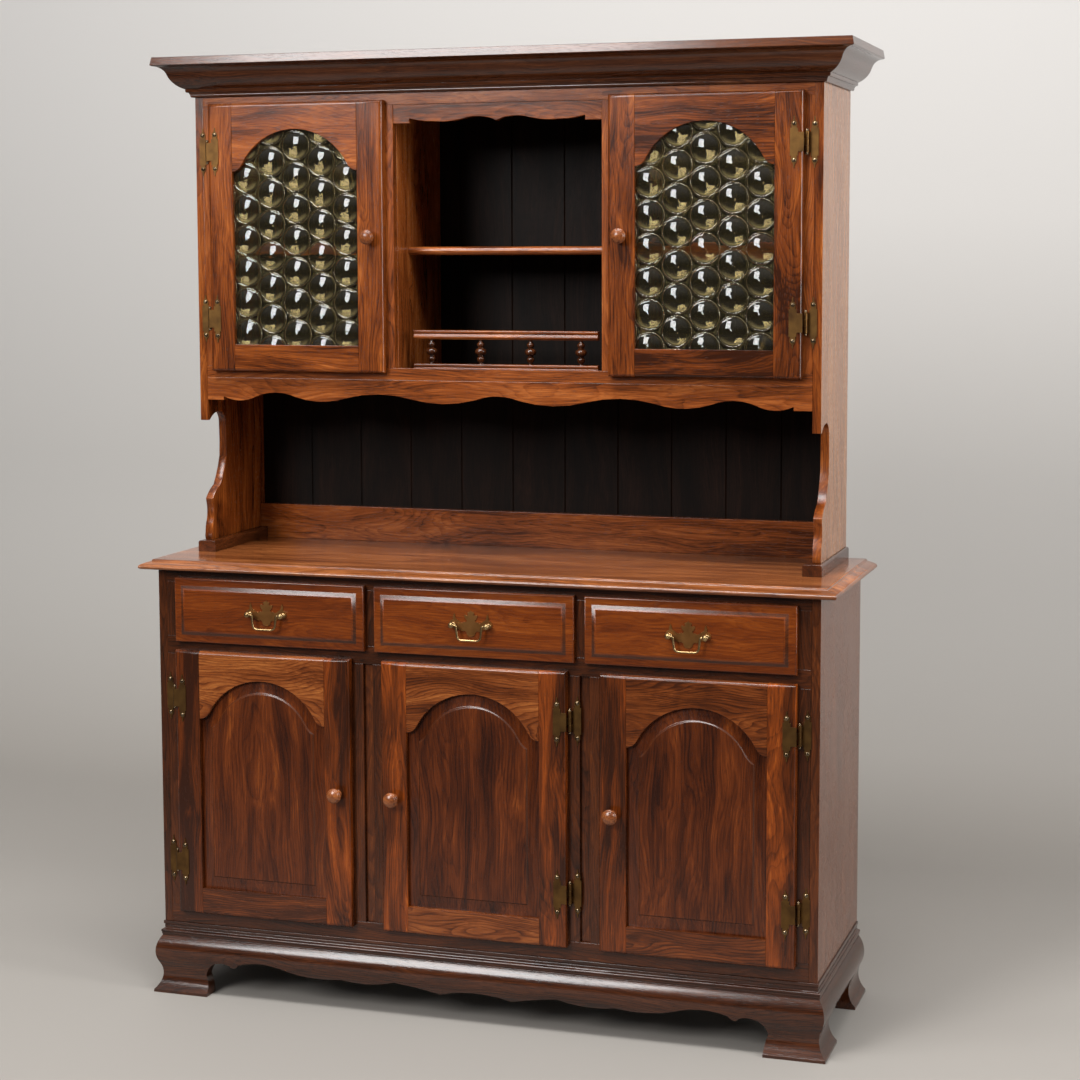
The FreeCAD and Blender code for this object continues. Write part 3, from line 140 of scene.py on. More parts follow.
def mirrored(half: Outline, middle: float | None = None) -> Outline:
    """Complete an outline whose half runs from its right end to the middle.

    Args:
        half: steps from the right end to the middle.
        middle: rise of an arc across the middle, if there is one.

    Returns:
        The steps of both halves, open between the two ends.
    """
    twins: Outline = []
    last = half[-1]
    if middle is not None:
        twins.append((-last[0], last[1], middle))
    elif last[0] != 0:
        twins.append((-last[0], last[1]))
    for index in range(len(half) - 2, -1, -1):
        twins.append((-half[index][0], half[index][1]) + tuple(half[index + 1][2:3]))
    return list(half) + twins


def backwards(steps: Outline) -> Outline:
    """The same outline walked the other way round."""
    count = len(steps)
    result: Outline = []
    for index in range(count - 1, -1, -1):
        following = steps[(index + 1) % count]
        rise = tuple(-value for value in following[2:3])
        result.append(tuple(steps[index][:2]) + rise)
    return result


def shifted(steps: Outline, across: float, up: float) -> Outline:
    """The same outline moved in its plane."""
    return [(step[0] + across, step[1] + up) + tuple(step[2:]) for step in steps]


# --- the bench: drawing and shaping with edit-mode operators ---


def deselect() -> None:
    """Let go of every object."""
    bpy.ops.object.select_all(action="DESELECT")
    bpy.context.view_layer.objects.active = None


def take(piece: bpy.types.Object) -> None:
    """Make one object the only one in hand."""
    deselect()
    piece.select_set(True)
    bpy.context.view_layer.objects.active = piece


class Pen:
    """Draws outlines as edges in one mesh, and closes them to solids."""

    def __init__(self, name: str, plane: Plane, fine: float = 1.0) -> None:
        """Start an empty mesh in edit mode.

        Args:
            name: name of the piece.
            plane: plane that its outlines lie in.
            fine: how much finer than usual its arcs are.
        """
        deselect()
        self.plane = plane
        self.step = ARC_STEP / fine
        bpy.ops.mesh.primitive_plane_add(size=MM)
        self.piece = bpy.context.object
        self.piece.name = name
        self.piece.data.name = name
        bpy.ops.object.mode_set(mode="EDIT")
        bpy.ops.mesh.select_all(action="SELECT")
        bpy.ops.mesh.delete(type="VERT")

    def _line(self, start: Step, end: Step) -> None:
        """Extrude the point in hand along a straight line."""
        move = self.plane.point(end[0] - start[0], end[1] - start[1], 0)
        bpy.ops.mesh.extrude_vertices_move(TRANSFORM_OT_translate={"value": move})

    def _arc(self, start: Step, end: Step, rise: float, depth: float) -> None:
        """Spin the point in hand along an arc that stands off its chord by rise, to the right if positive."""
        across = end[0] - start[0]
        up = end[1] - start[1]
        chord = math.hypot(across, up)
        angle = 4 * math.atan(2 * rise / chord)
        radius = (chord * chord / 4 + rise * rise) / (2 * rise)
        centre_u = (start[0] + end[0]) / 2 - up / chord * (radius - rise)
        centre_v = (start[1] + end[1]) / 2 + across / chord * (radius - rise)
        bpy.ops.mesh.spin(
            steps=max(2, math.ceil(abs(angle) / self.step)),
            angle=-angle,
            center=self.plane.point(centre_u, centre_v, depth),
            axis=self.plane.turn,
        )

    def loop(self, steps: Outline, depth: float, fill: bool = False, closed: bool = True) -> None:
        """Draw one outline.

        Args:
            steps: its corners, each with the rise of the arc that leads to it, if one does.
            depth: where its plane stands.
            fill: whether it becomes a face.
            closed: whether its end joins its start.
        """
        bpy.ops.mesh.select_mode(type="VERT")
        bpy.ops.mesh.select_all(action="DESELECT")
        bpy.ops.mesh.primitive_plane_add(size=MM, location=self.plane.point(*steps[0][:2], depth))
        bpy.ops.mesh.merge(type="CENTER")
        runs = len(steps) if closed else len(steps) - 1
        for index in range(runs):
            start = steps[index]
            end = steps[(index + 1) % len(steps)]
            if len(end) > 2 and end[2]:
                self._arc(start, end, end[2], depth)
            else:
                self._line(start, end)
        bpy.ops.mesh.select_linked()
        bpy.ops.mesh.remove_doubles(threshold=MERGE)
        if fill:
            bpy.ops.mesh.edge_face_add()

    def extrude(self, thick: float) -> None:
        """Pull the face in hand into a solid."""
        bpy.ops.mesh.extrude_region_move(TRANSFORM_OT_translate={"value": self.plane.point(0, 0, thick)})

    def bridge(self, first: float, second: float) -> None:
        """Join the outlines that stand at two depths."""
        axis = self.plane.value[2]
        depths = (first * MM, second * MM)

        def at_either(edge: bmesh.types.BMEdge) -> bool:
            """Whether the whole edge stands at one of the depths."""
            ends = [vertex.co[axis] for vertex in edge.verts]
            return any(all(abs(end - depth) < MERGE for end in ends) for depth in depths)

        select_edges(self.piece, at_either)
        bpy.ops.mesh.bridge_edge_loops()

    def finish(self) -> bpy.types.Object:
        """Merge what meets, point the faces outwards and leave edit mode."""
        bpy.ops.mesh.select_all(action="SELECT")
        bpy.ops.mesh.remove_doubles(threshold=MERGE)
        bpy.ops.mesh.normals_make_consistent(inside=False)
        bpy.ops.object.mode_set(mode="OBJECT")
        return self.piece


def select_edges(piece: bpy.types.Object, chosen: Callable[[bmesh.types.BMEdge], bool]) -> None:
    """Select only the edges that chosen says yes to, in edit mode."""
    bpy.ops.mesh.select_mode(type="EDGE")
    bpy.ops.mesh.select_all(action="DESELECT")
    mesh = bmesh.from_edit_mesh(piece.data)
    for edge in mesh.edges:
        if chosen(edge):
            edge.select_set(True)
    bmesh.update_edit_mesh(piece.data)


def board(name: str, plane: Plane, steps: Outline, start: float, thick: float) -> bpy.types.Object:
    """Saw a board to an outline."""
    pen = Pen(name, plane)
    pen.loop(steps, start, fill=True)
    pen.extrude(thick)
    return pen.finish()


def stacked(name: str, plane: Plane, sections: Sequence[tuple[Outline, float]]) -> bpy.types.Object:
    """Make a solid whose surface runs through outlines, one behind the other, all with as many points.

    Args:
        name: name of the piece.
        plane: plane that the outlines lie in.
        sections: outlines, each with its own depth, from one end to the other.

    Returns:
        The piece, closed at both ends.
    """
    pen = Pen(name, plane)
    last = len(sections) - 1
    for index, (steps, depth) in enumerate(sections):
        pen.loop(steps, depth, fill=index in (0, last))
    for index in range(last):
        pen.bridge(sections[index][1], sections[index + 1][1])
    return pen.finish()


def turned(name: str, profile: Outline, foot: Vector, axis: Vector, steps: int = ROUND_STEPS) -> bpy.types.Object:
    """Turn a piece: its profile, drawn from the axis and back to it, is spun about the axis.

    Args:
        name: name of the piece.
        profile: (radius, height) steps that start and end on the axis.
        foot: where the axis starts, in millimetres.
        axis: where the height points.
        steps: facets around.

    Returns:
        The piece.
    """
    pen = Pen(name, Plane.FRONT, fine=0.6)
    pen.loop(profile, 0, closed=False)
    bpy.ops.mesh.select_all(action="SELECT")
    bpy.ops.mesh.spin(steps=steps, angle=2 * math.pi, center=(0, 0, 0), axis=(0, 0, 1))
    piece = pen.finish()
    turn = Vector((0, 0, 1)).rotation_difference(axis).to_matrix().to_4x4()
    piece.data.transform(turn)
    piece.data.transform(shift_matrix(foot))
    return piece


def shift_matrix(place: Vector) -> Matrix:
    """A move by millimetres, as a matrix."""
    return Matrix.Translation(Vector(place) * MM)


def bisect(piece: bpy.types.Object, at: Vector, normal: Vector, keep_outer: bool = False) -> None:
    """Saw a piece through a plane and close the cut.

    Args:
        piece: what is cut.
        at: a point of the cut, in millimetres.
        normal: what the cut faces; the part beyond it goes.
        keep_outer: keep the part beyond instead.
    """
    take(piece)
    bpy.ops.object.mode_set(mode="EDIT")
    bpy.ops.mesh.select_all(action="SELECT")
    bpy.ops.mesh.bisect(
        plane_co=Vector(at) * MM,
        plane_no=normal,
        use_fill=True,
        clear_outer=not keep_outer,
        clear_inner=keep_outer,
    )
    bpy.ops.mesh.select_all(action="SELECT")
    bpy.ops.mesh.normals_make_consistent(inside=False)
    bpy.ops.object.mode_set(mode="OBJECT")


def apply(piece: bpy.types.Object, kind: str, **settings: object) -> None:
    """Add a modifier with its settings and apply it."""
    take(piece)
    modifier = piece.modifiers.new(kind.title(), kind)
    for name, value in settings.items():
        setattr(modifier, name, value)
    bpy.ops.object.modifier_apply(modifier=modifier.name)


def cut(piece: bpy.types.Object, tool: bpy.types.Object) -> None:
    """Take the tool's shape out of a piece, and throw the tool away."""
    apply(piece, "BOOLEAN", operation="DIFFERENCE", solver="EXACT", object=tool)
    bpy.data.objects.remove(tool)


def soften(piece: bpy.types.Object, width: float, segments: int = 2, angle: float = 38) -> None:
    """Ease the sharp edges, as sanding does, and smooth the shading between them."""
    apply(
        piece,
        "BEVEL",
        width=width * MM,
        segments=segments,
        limit_method="ANGLE",
        angle_limit=math.radians(angle),
        miter_outer="MITER_ARC",
        use_clamp_overlap=True,
    )
    smooth(piece)


def smooth(piece: bpy.types.Object, angle: float = 40) -> None:
    """Shade round faces smooth and flat ones flat."""
    take(piece)
    bpy.ops.object.shade_smooth_by_angle(angle=math.radians(angle))
    apply(piece, "WEIGHTED_NORMAL", keep_sharp=True, weight=80)


def round_over(piece: bpy.types.Object, radius: float, chosen: Callable[[bmesh.types.BMEdge], bool]) -> None:
    """Round the chosen edges."""
    take(piece)
    bpy.ops.object.mode_set(mode="EDIT")
    select_edges(piece, chosen)
    bpy.ops.mesh.bevel(offset=radius * MM, segments=5, affect="EDGES", clamp_overlap=True)
    bpy.ops.object.mode_set(mode="OBJECT")


def join(name: str, pieces: Sequence[bpy.types.Object]) -> bpy.types.Object:
    """Make one object of several."""
    deselect()
    for piece in pieces:
        piece.select_set(True)
    bpy.context.view_layer.objects.active = pieces[0]
    bpy.ops.object.join()
    joined = bpy.context.object
    joined.name = name
    joined.data.name = name
    return joined


def copied(piece: bpy.types.Object, name: str, move: Vector, turn: float = 0) -> bpy.types.Object:
    """Copy a piece with a mesh of its own, moved by millimetres in its mesh."""
    mesh = piece.data.copy()
    mesh.transform(shift_matrix(move))
    twin = bpy.data.objects.new(name, mesh)
    bpy.context.scene.collection.objects.link(twin)
    return twin


def mirrored_copy(piece: bpy.types.Object, name: str, about: float = 0) -> bpy.types.Object:
    """Copy a piece to the other side of a plane across X, with its faces outwards."""
    twin = copied(piece, name, Vector((0, 0, 0)))
    for vertex in twin.data.vertices:
        vertex.co.x = 2 * about * MM - vertex.co.x
    twin.data.flip_normals()
    return twin


def merged_copy(node: str, name: str) -> bpy.types.Object:
    """Copy a CAD node's shape as whole faces."""
    mesh = frame["nodes"][node].data.copy()
    mesh.materials.clear()
    piece = bpy.data.objects.new(name, mesh)
    bpy.context.scene.collection.objects.link(piece)
    take(piece)
    bpy.ops.object.mode_set(mode="EDIT")
    bpy.ops.mesh.select_all(action="SELECT")
    bpy.ops.mesh.remove_doubles(threshold=MERGE)
    bpy.ops.mesh.dissolve_limited(angle_limit=math.radians(1))
    bpy.ops.object.mode_set(mode="OBJECT")
    return piece


# --- grain: each board gets its own place in the log ---


def islands(mesh: bpy.types.Mesh) -> list[list[int]]:
    """The vertices of each loose part of a mesh."""
    parent = list(range(len(mesh.vertices)))

    def top(index: int) -> int:
        """The vertex that stands for a loose part."""
        while parent[index] != index:
            parent[index] = parent[parent[index]]
            index = parent[index]
        return index

    for edge in mesh.edges:
        first, second = (top(vertex) for vertex in edge.vertices)
        if first != second:
            parent[first] = second
    groups: dict[int, list[int]] = {}
    for index in range(len(parent)):
        groups.setdefault(top(index), []).append(index)
    return list(groups.values())


def lay_grain(piece: bpy.types.Object, along: int | None = None, tone: float | None = None) -> None:
    """Write where each point lies in its board: across, deep and along the grain, and which board it is.

    Args:
        piece: what gets the attributes.
        along: axis of the grain, or None for each board's longest side.
        tone: how pale its boards took the stain, from 0 to 1, or None for a draw.
    """
    mesh = piece.data
    draws = random.Random(piece.name)
    grain = mesh.attributes.new("grain", "FLOAT_VECTOR", "POINT")
    which = mesh.attributes.new("board", "FLOAT_VECTOR", "POINT")
    for members in islands(mesh):
        points = [mesh.vertices[index].co for index in members]
        lows = [min(point[axis] for point in points) for axis in range(3)]
        highs = [max(point[axis] for point in points) for axis in range(3)]
        sizes = [high - low for low, high in zip(lows, highs)]
        length = along if along is not None else sizes.index(max(sizes))
        others = sorted((axis for axis in range(3) if axis != length), key=lambda axis: -sizes[axis])
        order = (others[0], others[1], length)
        middle = [(low + high) / 2 for low, high in zip(lows, highs)]
        tag = (draws.random(), draws.random(), draws.uniform(0.35, 0.65) if tone is None else tone)
        for index in members:
            place = mesh.vertices[index].co
            grain.data[index].vector = [place[axis] - middle[axis] for axis in order]
            which.data[index].vector = tag


# --- finishes ---


def linear(colour: str) -> tuple[float, float, float, float]:
    """Turn an sRGB hex colour to linear."""
    channels = [int(colour[place : place + 2], 16) / 255 for place in (1, 3, 5)]
    return (*(value / 12.92 if value <= 0.04045 else ((value + 0.055) / 1.055) ** 2.4 for value in channels), 1.0)


def add_node(tree: bpy.types.NodeTree, kind: str, inputs: dict | None = None, **settings: object) -> bpy.types.Node:
    """Add a node with its settings, its values and its links.

    Args:
        tree: the material's tree.
        kind: node type.
        inputs: socket name or number to a value, or to the socket that feeds it.
        settings: the node's own settings.

    Returns:
        The node.
    """
    new = tree.nodes.new(kind)
    for name, value in settings.items():
        setattr(new, name, value)
    for key, value in (inputs or {}).items():
        if isinstance(value, bpy.types.NodeSocket):
            tree.links.new(value, new.inputs[key])
        else:
            new.inputs[key].default_value = value
    return new


def ramp(tree: bpy.types.NodeTree, factor: bpy.types.NodeSocket, stops: Sequence[tuple]) -> bpy.types.NodeSocket:
    """Add a colour ramp with the given stops and return its colour."""
    new = add_node(tree, "ShaderNodeValToRGB", {0: factor})
    elements = new.color_ramp.elements
    while len(elements) < len(stops):
        elements.new(0.5)
    for element, (place, colour) in zip(elements, stops):
        element.position = place
        element.color = colour
    return new.outputs[0]


def grey(value: float) -> tuple[float, float, float, float]:
    """A grey as a ramp's colour."""
    return (value, value, value, 1.0)


@dataclass(frozen=True)
class StainedWood:
    """Stained and lacquered pine or beech: dark stain sinks into the soft rings, and the lacquer shines a little.

    Colours run from the darkest streaks to the palest. ring_mm is the ring spacing, figure_mm how far the rings
    wander, flame how much broad light and dark flames show, and nicks how many pale chips the finish has.
    """

    name: str
    dark: str
    mid: str
    light: str
    pale: str
    ring_mm: float = 4.5
    figure_mm: float = 26.0
    flame: float = 0.55
    rings: float = 0.2
    fibre_mm: float = 0.9
    roughness: float = 0.2
    gloss: float = 0.35
    nicks: float = 0.0

    def make(self) -> bpy.types.Material:
        """Build the material, or find it if it is built."""
        found = bpy.data.materials.get(self.name)
        if found:
            return found
        material = bpy.data.materials.new(self.name)
        material.use_nodes = True
        tree = material.node_tree
        tree.nodes.clear()

        def math_node(operation: str, first: object, second: object = 0.0, third: object = 0.0) -> bpy.types.NodeSocket:
            """One sum."""
            inputs = {0: first, 1: second, 2: third}
            return add_node(tree, "ShaderNodeMath", inputs, operation=operation).outputs[0]

        def vector_node(operation: str, first: object, second: object) -> bpy.types.NodeSocket:
            """One sum of vectors."""
            return add_node(tree, "ShaderNodeVectorMath", {0: first, 1: second}, operation=operation).outputs[0]

        def noise(vector: bpy.types.NodeSocket, detail: float, rough: float = 0.5) -> bpy.types.Node:
            """Noise at the vector's own scale."""
            inputs = {"Vector": vector, "Scale": 1.0, "Detail": detail, "Roughness": rough}
            return add_node(tree, "ShaderNodeTexNoise", inputs)

        grain = add_node(tree, "ShaderNodeAttribute", attribute_name="grain").outputs["Vector"]
        which = add_node(tree, "ShaderNodeAttribute", attribute_name="board").outputs["Vector"]
        place = add_node(tree, "ShaderNodeVectorMath", {0: which, "Scale": 40.0}, operation="SCALE").outputs[0]
        draw = add_node(tree, "ShaderNodeSeparateXYZ", {0: which}).outputs

        # broad wandering, about 12 cm across and 45 cm along the grain
        broad_place = vector_node("ADD", vector_node("MULTIPLY", grain, (8.0, 8.0, 2.2)), place)
        wander = vector_node("SUBTRACT", noise(broad_place, 2.0).outputs["Color"], (0.5, 0.5, 0.5))
        reach = self.figure_mm * MM * 4
        moved = vector_node("ADD", grain, vector_node("MULTIPLY", wander, (reach, reach, 0.0)))
        small_place = vector_node("ADD", vector_node("MULTIPLY", grain, (60.0, 60.0, 9.0)), place)
        ripple = vector_node("SUBTRACT", noise(small_place, 2.0).outputs["Color"], (0.5, 0.5, 0.5))
        moved = vector_node("ADD", moved, vector_node("MULTIPLY", ripple, (0.005, 0.005, 0.0)))
        across, deep, along = add_node(tree, "ShaderNodeSeparateXYZ", {0: moved}).outputs

        # rings about a heart that lies 30 to 90 mm under the face and runs a little out of line with the board
        heart_side = math_node("MULTIPLY_ADD", draw[0], 0.16, -0.08)
        heart_deep = math_node("MULTIPLY_ADD", draw[1], 0.06, 0.03)
        lean = math_node("MULTIPLY_ADD", draw[2], 0.24, -0.12)
        side = math_node("ADD", across, heart_side)
        down = math_node("ADD", deep, math_node("MULTIPLY_ADD", along, lean, heart_deep))
        radius = math_node("SQRT", math_node("ADD", math_node("MULTIPLY", side, side), math_node("MULTIPLY", down, down)))
        phase = math_node("FRACT", math_node("DIVIDE", radius, self.ring_mm * MM))
        stops = ((0.0, grey(0.35)), (0.06, grey(0.8)), (0.55, grey(0.7)), (0.86, grey(0.25)), (0.95, grey(0.0)))
        ring = ramp(tree, phase, stops)

        flame_place = vector_node("ADD", vector_node("MULTIPLY", moved, (30.0, 30.0, 3.0)), place)
        flame = noise(flame_place, 3.0, 0.55).outputs["Fac"]
        streak_place = vector_node("ADD", vector_node("MULTIPLY", moved, (260.0, 260.0, 5.0)), place)
        streak = noise(streak_place, 2.0, 0.55).outputs["Fac"]
        fine_scale = 1 / (self.fibre_mm * MM)
        fibre_place = vector_node("MULTIPLY", grain, (fine_scale, fine_scale, fine_scale / 38))
        fibre = noise(vector_node("ADD", fibre_place, place), 2.0, 0.6).outputs["Fac"]
        pore_place = vector_node("MULTIPLY", grain, (fine_scale * 0.75, fine_scale * 0.75, fine_scale / 16))
        pores = noise(vector_node("ADD", pore_place, place), 1.0).outputs["Fac"]
        pore = ramp(tree, pores, ((0.33, grey(1.0)), (0.42, grey(0.0))))

        level = math_node("MULTIPLY_ADD", math_node("SUBTRACT", flame, 0.5), self.flame * 2.4, 0.42)
        level = math_node("MULTIPLY_ADD", math_node("SUBTRACT", ring, 0.5), self.rings, level)
        level = math_node("MULTIPLY_ADD", math_node("SUBTRACT", fibre, 0.5), 0.5, level)
        level = math_node("MULTIPLY_ADD", math_node("SUBTRACT", streak, 0.5), 0.75, level)
        level = math_node("MULTIPLY_ADD", math_node("SUBTRACT", draw[2], 0.5), 0.6, level)
        shades = ((0.08, linear(self.dark)), (0.4, linear(self.mid)), (0.7, linear(self.light)), (1.0, linear(self.pale)))
        colour = ramp(tree, level, shades)
        inputs = {0: math_node("MULTIPLY", pore, 0.45), 6: colour, 7: linear(self.dark)}
        colour = add_node(tree, "ShaderNodeMix", inputs, data_type="RGBA").outputs[2]

        if self.nicks:
            chips = add_node(tree, "ShaderNodeTexVoronoi", {"Vector": vector_node("ADD", grain, place), "Scale": 42.0})
            spread = noise(vector_node("MULTIPLY", grain, (9.0, 9.0, 9.0)), 2.0).outputs["Fac"]
            size = math_node("MULTIPLY", ramp(tree, spread, ((0.5, grey(0.0)), (0.75, grey(1.0)))), 0.085 * self.nicks)
            chipped = math_node("LESS_THAN", chips.outputs["Distance"], size)
            inputs = {0: math_node("MULTIPLY", chipped, 0.75), 6: colour, 7: linear("#c9ab92")}
            colour = add_node(tree, "ShaderNodeMix", inputs, data_type="RGBA").outputs[2]

        rub_place = vector_node("ADD", vector_node("MULTIPLY", grain, (14.0, 14.0, 6.0)), place)
        rubbed = noise(rub_place, 3.0, 0.6).outputs["Fac"]
        rough = math_node("MULTIPLY_ADD", math_node("SUBTRACT", rubbed, 0.5), 0.14, self.roughness)
        rough = math_node("MULTIPLY_ADD", pore, 0.08, rough)
        height = math_node("MULTIPLY_ADD", ring, 0.35, fibre)
        height = math_node("MULTIPLY_ADD", pore, -0.5, height)
        bump = add_node(tree, "ShaderNodeBump", {"Strength": 0.12, "Distance": 0.0003, "Height": height}).outputs[0]
        inputs = {
            "Base Color": colour,
            "Roughness": rough,
            "Normal": bump,
            "IOR": 1.52,
            "Specular IOR Level": self.gloss,
        }
        shader = add_node(tree, "ShaderNodeBsdfPrincipled", inputs).outputs[0]
        add_node(tree, "ShaderNodeOutputMaterial", {"Surface": shader})
        return material


@dataclass(frozen=True)
class AgedBrass:
    """Cast or pressed brass under old lacquer: warm and dull, browner in patches, brighter where hands rub it."""

    name: str
    dark: str
    bright: str
    roughness: float = 0.38

    def make(self) -> bpy.types.Material:
        """Build the material, or find it if it is built."""
        found = bpy.data.materials.get(self.name)
        if found:
            return found
        material = bpy.data.materials.new(self.name)
        material.use_nodes = True
        tree = material.node_tree
        tree.nodes.clear()
        place = add_node(tree, "ShaderNodeTexCoord").outputs["Object"]
        # tarnish in patches about 25 mm wide with soft edges
        patches = add_node(tree, "ShaderNodeTexNoise", {"Vector": place, "Scale": 40.0, "Detail": 3.0})
        colour = ramp(tree, patches.outputs["Fac"], ((0.25, linear(self.dark)), (0.75, linear(self.bright))))
        grit = add_node(tree, "ShaderNodeTexNoise", {"Vector": place, "Scale": 900.0, "Detail": 2.0})
        inputs = {0: grit.outputs["Fac"], 1: 0.25, 2: self.roughness - 0.12}
        rough = add_node(tree, "ShaderNodeMath", inputs, operation="MULTIPLY_ADD").outputs[0]
        inputs = {"Strength": 0.15, "Distance": 0.0003, "Height": patches.outputs["Fac"]}
        bump = add_node(tree, "ShaderNodeBump", inputs).outputs[0]
        inputs = {"Base Color": colour, "Metallic": 1.0, "Roughness": rough, "Normal": bump}
        shader = add_node(tree, "ShaderNodeBsdfPrincipled", inputs).outputs[0]
        add_node(tree, "ShaderNodeOutputMaterial", {"Surface": shader})
        return material


@dataclass(frozen=True)
class CastGlass:
    """Cast bull's-eye glass: clear and olive, with painted light: a pale yellow-green crescent where each dome would
    gather the light, pale rim lines and a faint glow.
    """

    name: str
    tint: str
    painted_glow: str

    def make(self) -> bpy.types.Material:
        """Build the material, or find it if it is built."""
        found = bpy.data.materials.get(self.name)
        if found:
            return found
        material = bpy.data.materials.new(self.name)
        material.use_nodes = True
        tree = material.node_tree
        tree.nodes.clear()
        eye = add_node(tree, "ShaderNodeAttribute", attribute_name="eye").outputs["Vector"]
        radius = add_node(tree, "ShaderNodeVectorMath", {0: eye}, operation="LENGTH").outputs["Value"]
        up = add_node(tree, "ShaderNodeSeparateXYZ", {0: eye}).outputs["Y"]
        # the ramps run to a quarter past the dome's radius
        scaled = add_node(tree, "ShaderNodeMath", {0: radius, 1: 0.8}, operation="MULTIPLY").outputs[0]
        # painted light: a pale crescent on each dome's lower side and two pale rim lines stand in for gathered light
        # and reflections
        band = ramp(tree, scaled, ((0.5, grey(0.0)), (0.72, grey(0.8)), (0.78, grey(0.0))))
        stops = ((0.785, 0.0), (0.8, 0.5), (0.815, 0.0), (0.885, 0.0), (0.905, 0.45), (0.925, 0.0))
        painted_rims = ramp(tree, scaled, [(stop, grey(value)) for stop, value in stops])
        low = add_node(tree, "ShaderNodeMath", {0: up, 1: -1.0}, operation="MULTIPLY").outputs[0]
        low = ramp(tree, low, ((0.3, grey(0.0)), (0.95, grey(1.0))))
        # a faint painted glow in the dome, stronger towards its lower side, added to the painted rims
        painted_dome_glow = ramp(tree, scaled, ((0.7, grey(0.03)), (0.78, grey(0.0))))
        painted_glow_lower_side = add_node(tree, "ShaderNodeMath", {0: up, 1: -0.35, 2: 0.75}, operation="MULTIPLY_ADD").outputs[0]
        inputs = {0: painted_dome_glow, 1: painted_glow_lower_side, 2: painted_rims}
        painted_rims = add_node(tree, "ShaderNodeMath", inputs, operation="MULTIPLY_ADD").outputs[0]
        inputs = {0: band, 1: low, 2: painted_rims}
        painted_light_mask = add_node(tree, "ShaderNodeMath", inputs, operation="MULTIPLY_ADD", use_clamp=True).outputs[0]
        # ripples of cast glass, about 9 mm apart
        place = add_node(tree, "ShaderNodeTexCoord").outputs["Object"]
        waves = add_node(tree, "ShaderNodeTexNoise", {"Vector": place, "Scale": 110.0, "Detail": 1.0})
        inputs = {"Strength": 0.2, "Distance": 0.0008, "Height": waves.outputs["Fac"]}
        bump = add_node(tree, "ShaderNodeBump", inputs).outputs[0]
        # the painted light turns the tint towards the pale glow colour and makes the glass less clear
        inputs = {0: painted_light_mask, 6: linear(self.tint), 7: linear(self.painted_glow)}
        colour = add_node(tree, "ShaderNodeMix", inputs, data_type="RGBA").outputs[2]
        clear = add_node(tree, "ShaderNodeMath", {0: painted_light_mask, 1: -0.6, 2: 1.0}, operation="MULTIPLY_ADD").outputs[0]
        inputs = {
            "Base Color": colour,
            "Roughness": 0.03,
            "IOR": 1.52,
            "Transmission Weight": clear,
            "Normal": bump,
        }
        shader = add_node(tree, "ShaderNodeBsdfPrincipled", inputs).outputs[0]
        add_node(tree, "ShaderNodeOutputMaterial", {"Surface": shader})
        return material


class Finish(Enum):
    """The finishes of the dresser."""

    # painted shade: a darker copy of the wood for the steep faces of moulded steps
    STEP = StainedWood("stain in a moulded step", "#2a1207", "#431f0c", "#592c12", "#703c1b", flame=0.2)
    STILE = StainedWood("dark stained frame wood", "#221107", "#3e1d0c", "#5b2d12", "#81431c", flame=0.35)
    DOOR_RAIL = StainedWood("stained rail wood", "#381807", "#622e0f", "#83461e", "#a3622e", rings=0.42, figure_mm=38.0)
    DOOR_STILE = StainedWood("stained stile wood", "#2d1205", "#572609", "#7f3a10", "#a7581e", flame=0.8)
    PANEL = StainedWood("stained panel wood", "#260c03", "#451c06", "#602b0d", "#854417", flame=0.62, ring_mm=6.0)
    DRAWER = StainedWood("stained drawer wood", "#421b07", "#622a0a", "#7b3b10", "#985424", flame=0.35, rings=0.16)
    WORKTOP = StainedWood("worn worktop wood", "#4a2412", "#74401f", "#96592f", "#b57a4c", nicks=1.0, roughness=0.16, gloss=0.5)
    HUTCH = StainedWood("stained hutch wood", "#2d1205", "#652f0f", "#894719", "#ad6630", flame=0.65)
    SIDE = StainedWood("stained side panel", "#40230f", "#5f3219", "#754327", "#8b5738", flame=0.3, gloss=0.5)
    # painted light: a paler copy of the hutch wood stands in for the sheen and side light on the hutch sides' outer
    # faces
    HUTCH_SIDE = StainedWood("stained hutch side", "#603519", "#8d5a34", "#a97348", "#be8b5d", flame=0.3, gloss=0.5)
    MOULDING = StainedWood("stained moulding wood", "#1d0c05", "#3b1c0c", "#552d16", "#744425", flame=0.3, rings=0.14, roughness=0.12, gloss=0.44)
    # painted shade: a near-black copy of the wood for boards inside the case, where shade falls
    INSIDE = StainedWood("dark inside boards", "#0a0503", "#140a05", "#1f110a", "#2e1b10", gloss=0.1, roughness=0.5)
    RAW = StainedWood("plain drawer wood", "#6d4a2c", "#94693f", "#b3875a", "#c9a177", gloss=0.2, roughness=0.6)
    KNOB = StainedWood("turned knob wood", "#4a2410", "#7a4220", "#9c5c30", "#bb7c4c", flame=0.3, gloss=0.5)
    LEAF = AgedBrass("aged brass hinge leaf", "#4f3822", "#76562f", 0.42)
    PLATE = AgedBrass("aged brass pull plate", "#7d522c", "#a06f3f", 0.38)
    BAIL = AgedBrass("rubbed brass bail", "#7e6443", "#b1976b", 0.30)
    SCREW = AgedBrass("domed screw head", "#5c4c3a", "#8d7b62", 0.24)
    # painted light: a paler copy of the hutch wood for the face frame, valances, dividers, shelves and niche rail,
    # where more light falls
    HUTCH_RAIL = StainedWood("stained hutch rail wood", "#3f1c0a", "#7b3d17", "#9c5728", "#bb7a42", flame=0.5)
    # painted light: the second colour is the pale glow of the painted crescents, rims and dome glow
    GLASS = CastGlass("bull's-eye glass", "#c2af7d", "#ab985a")


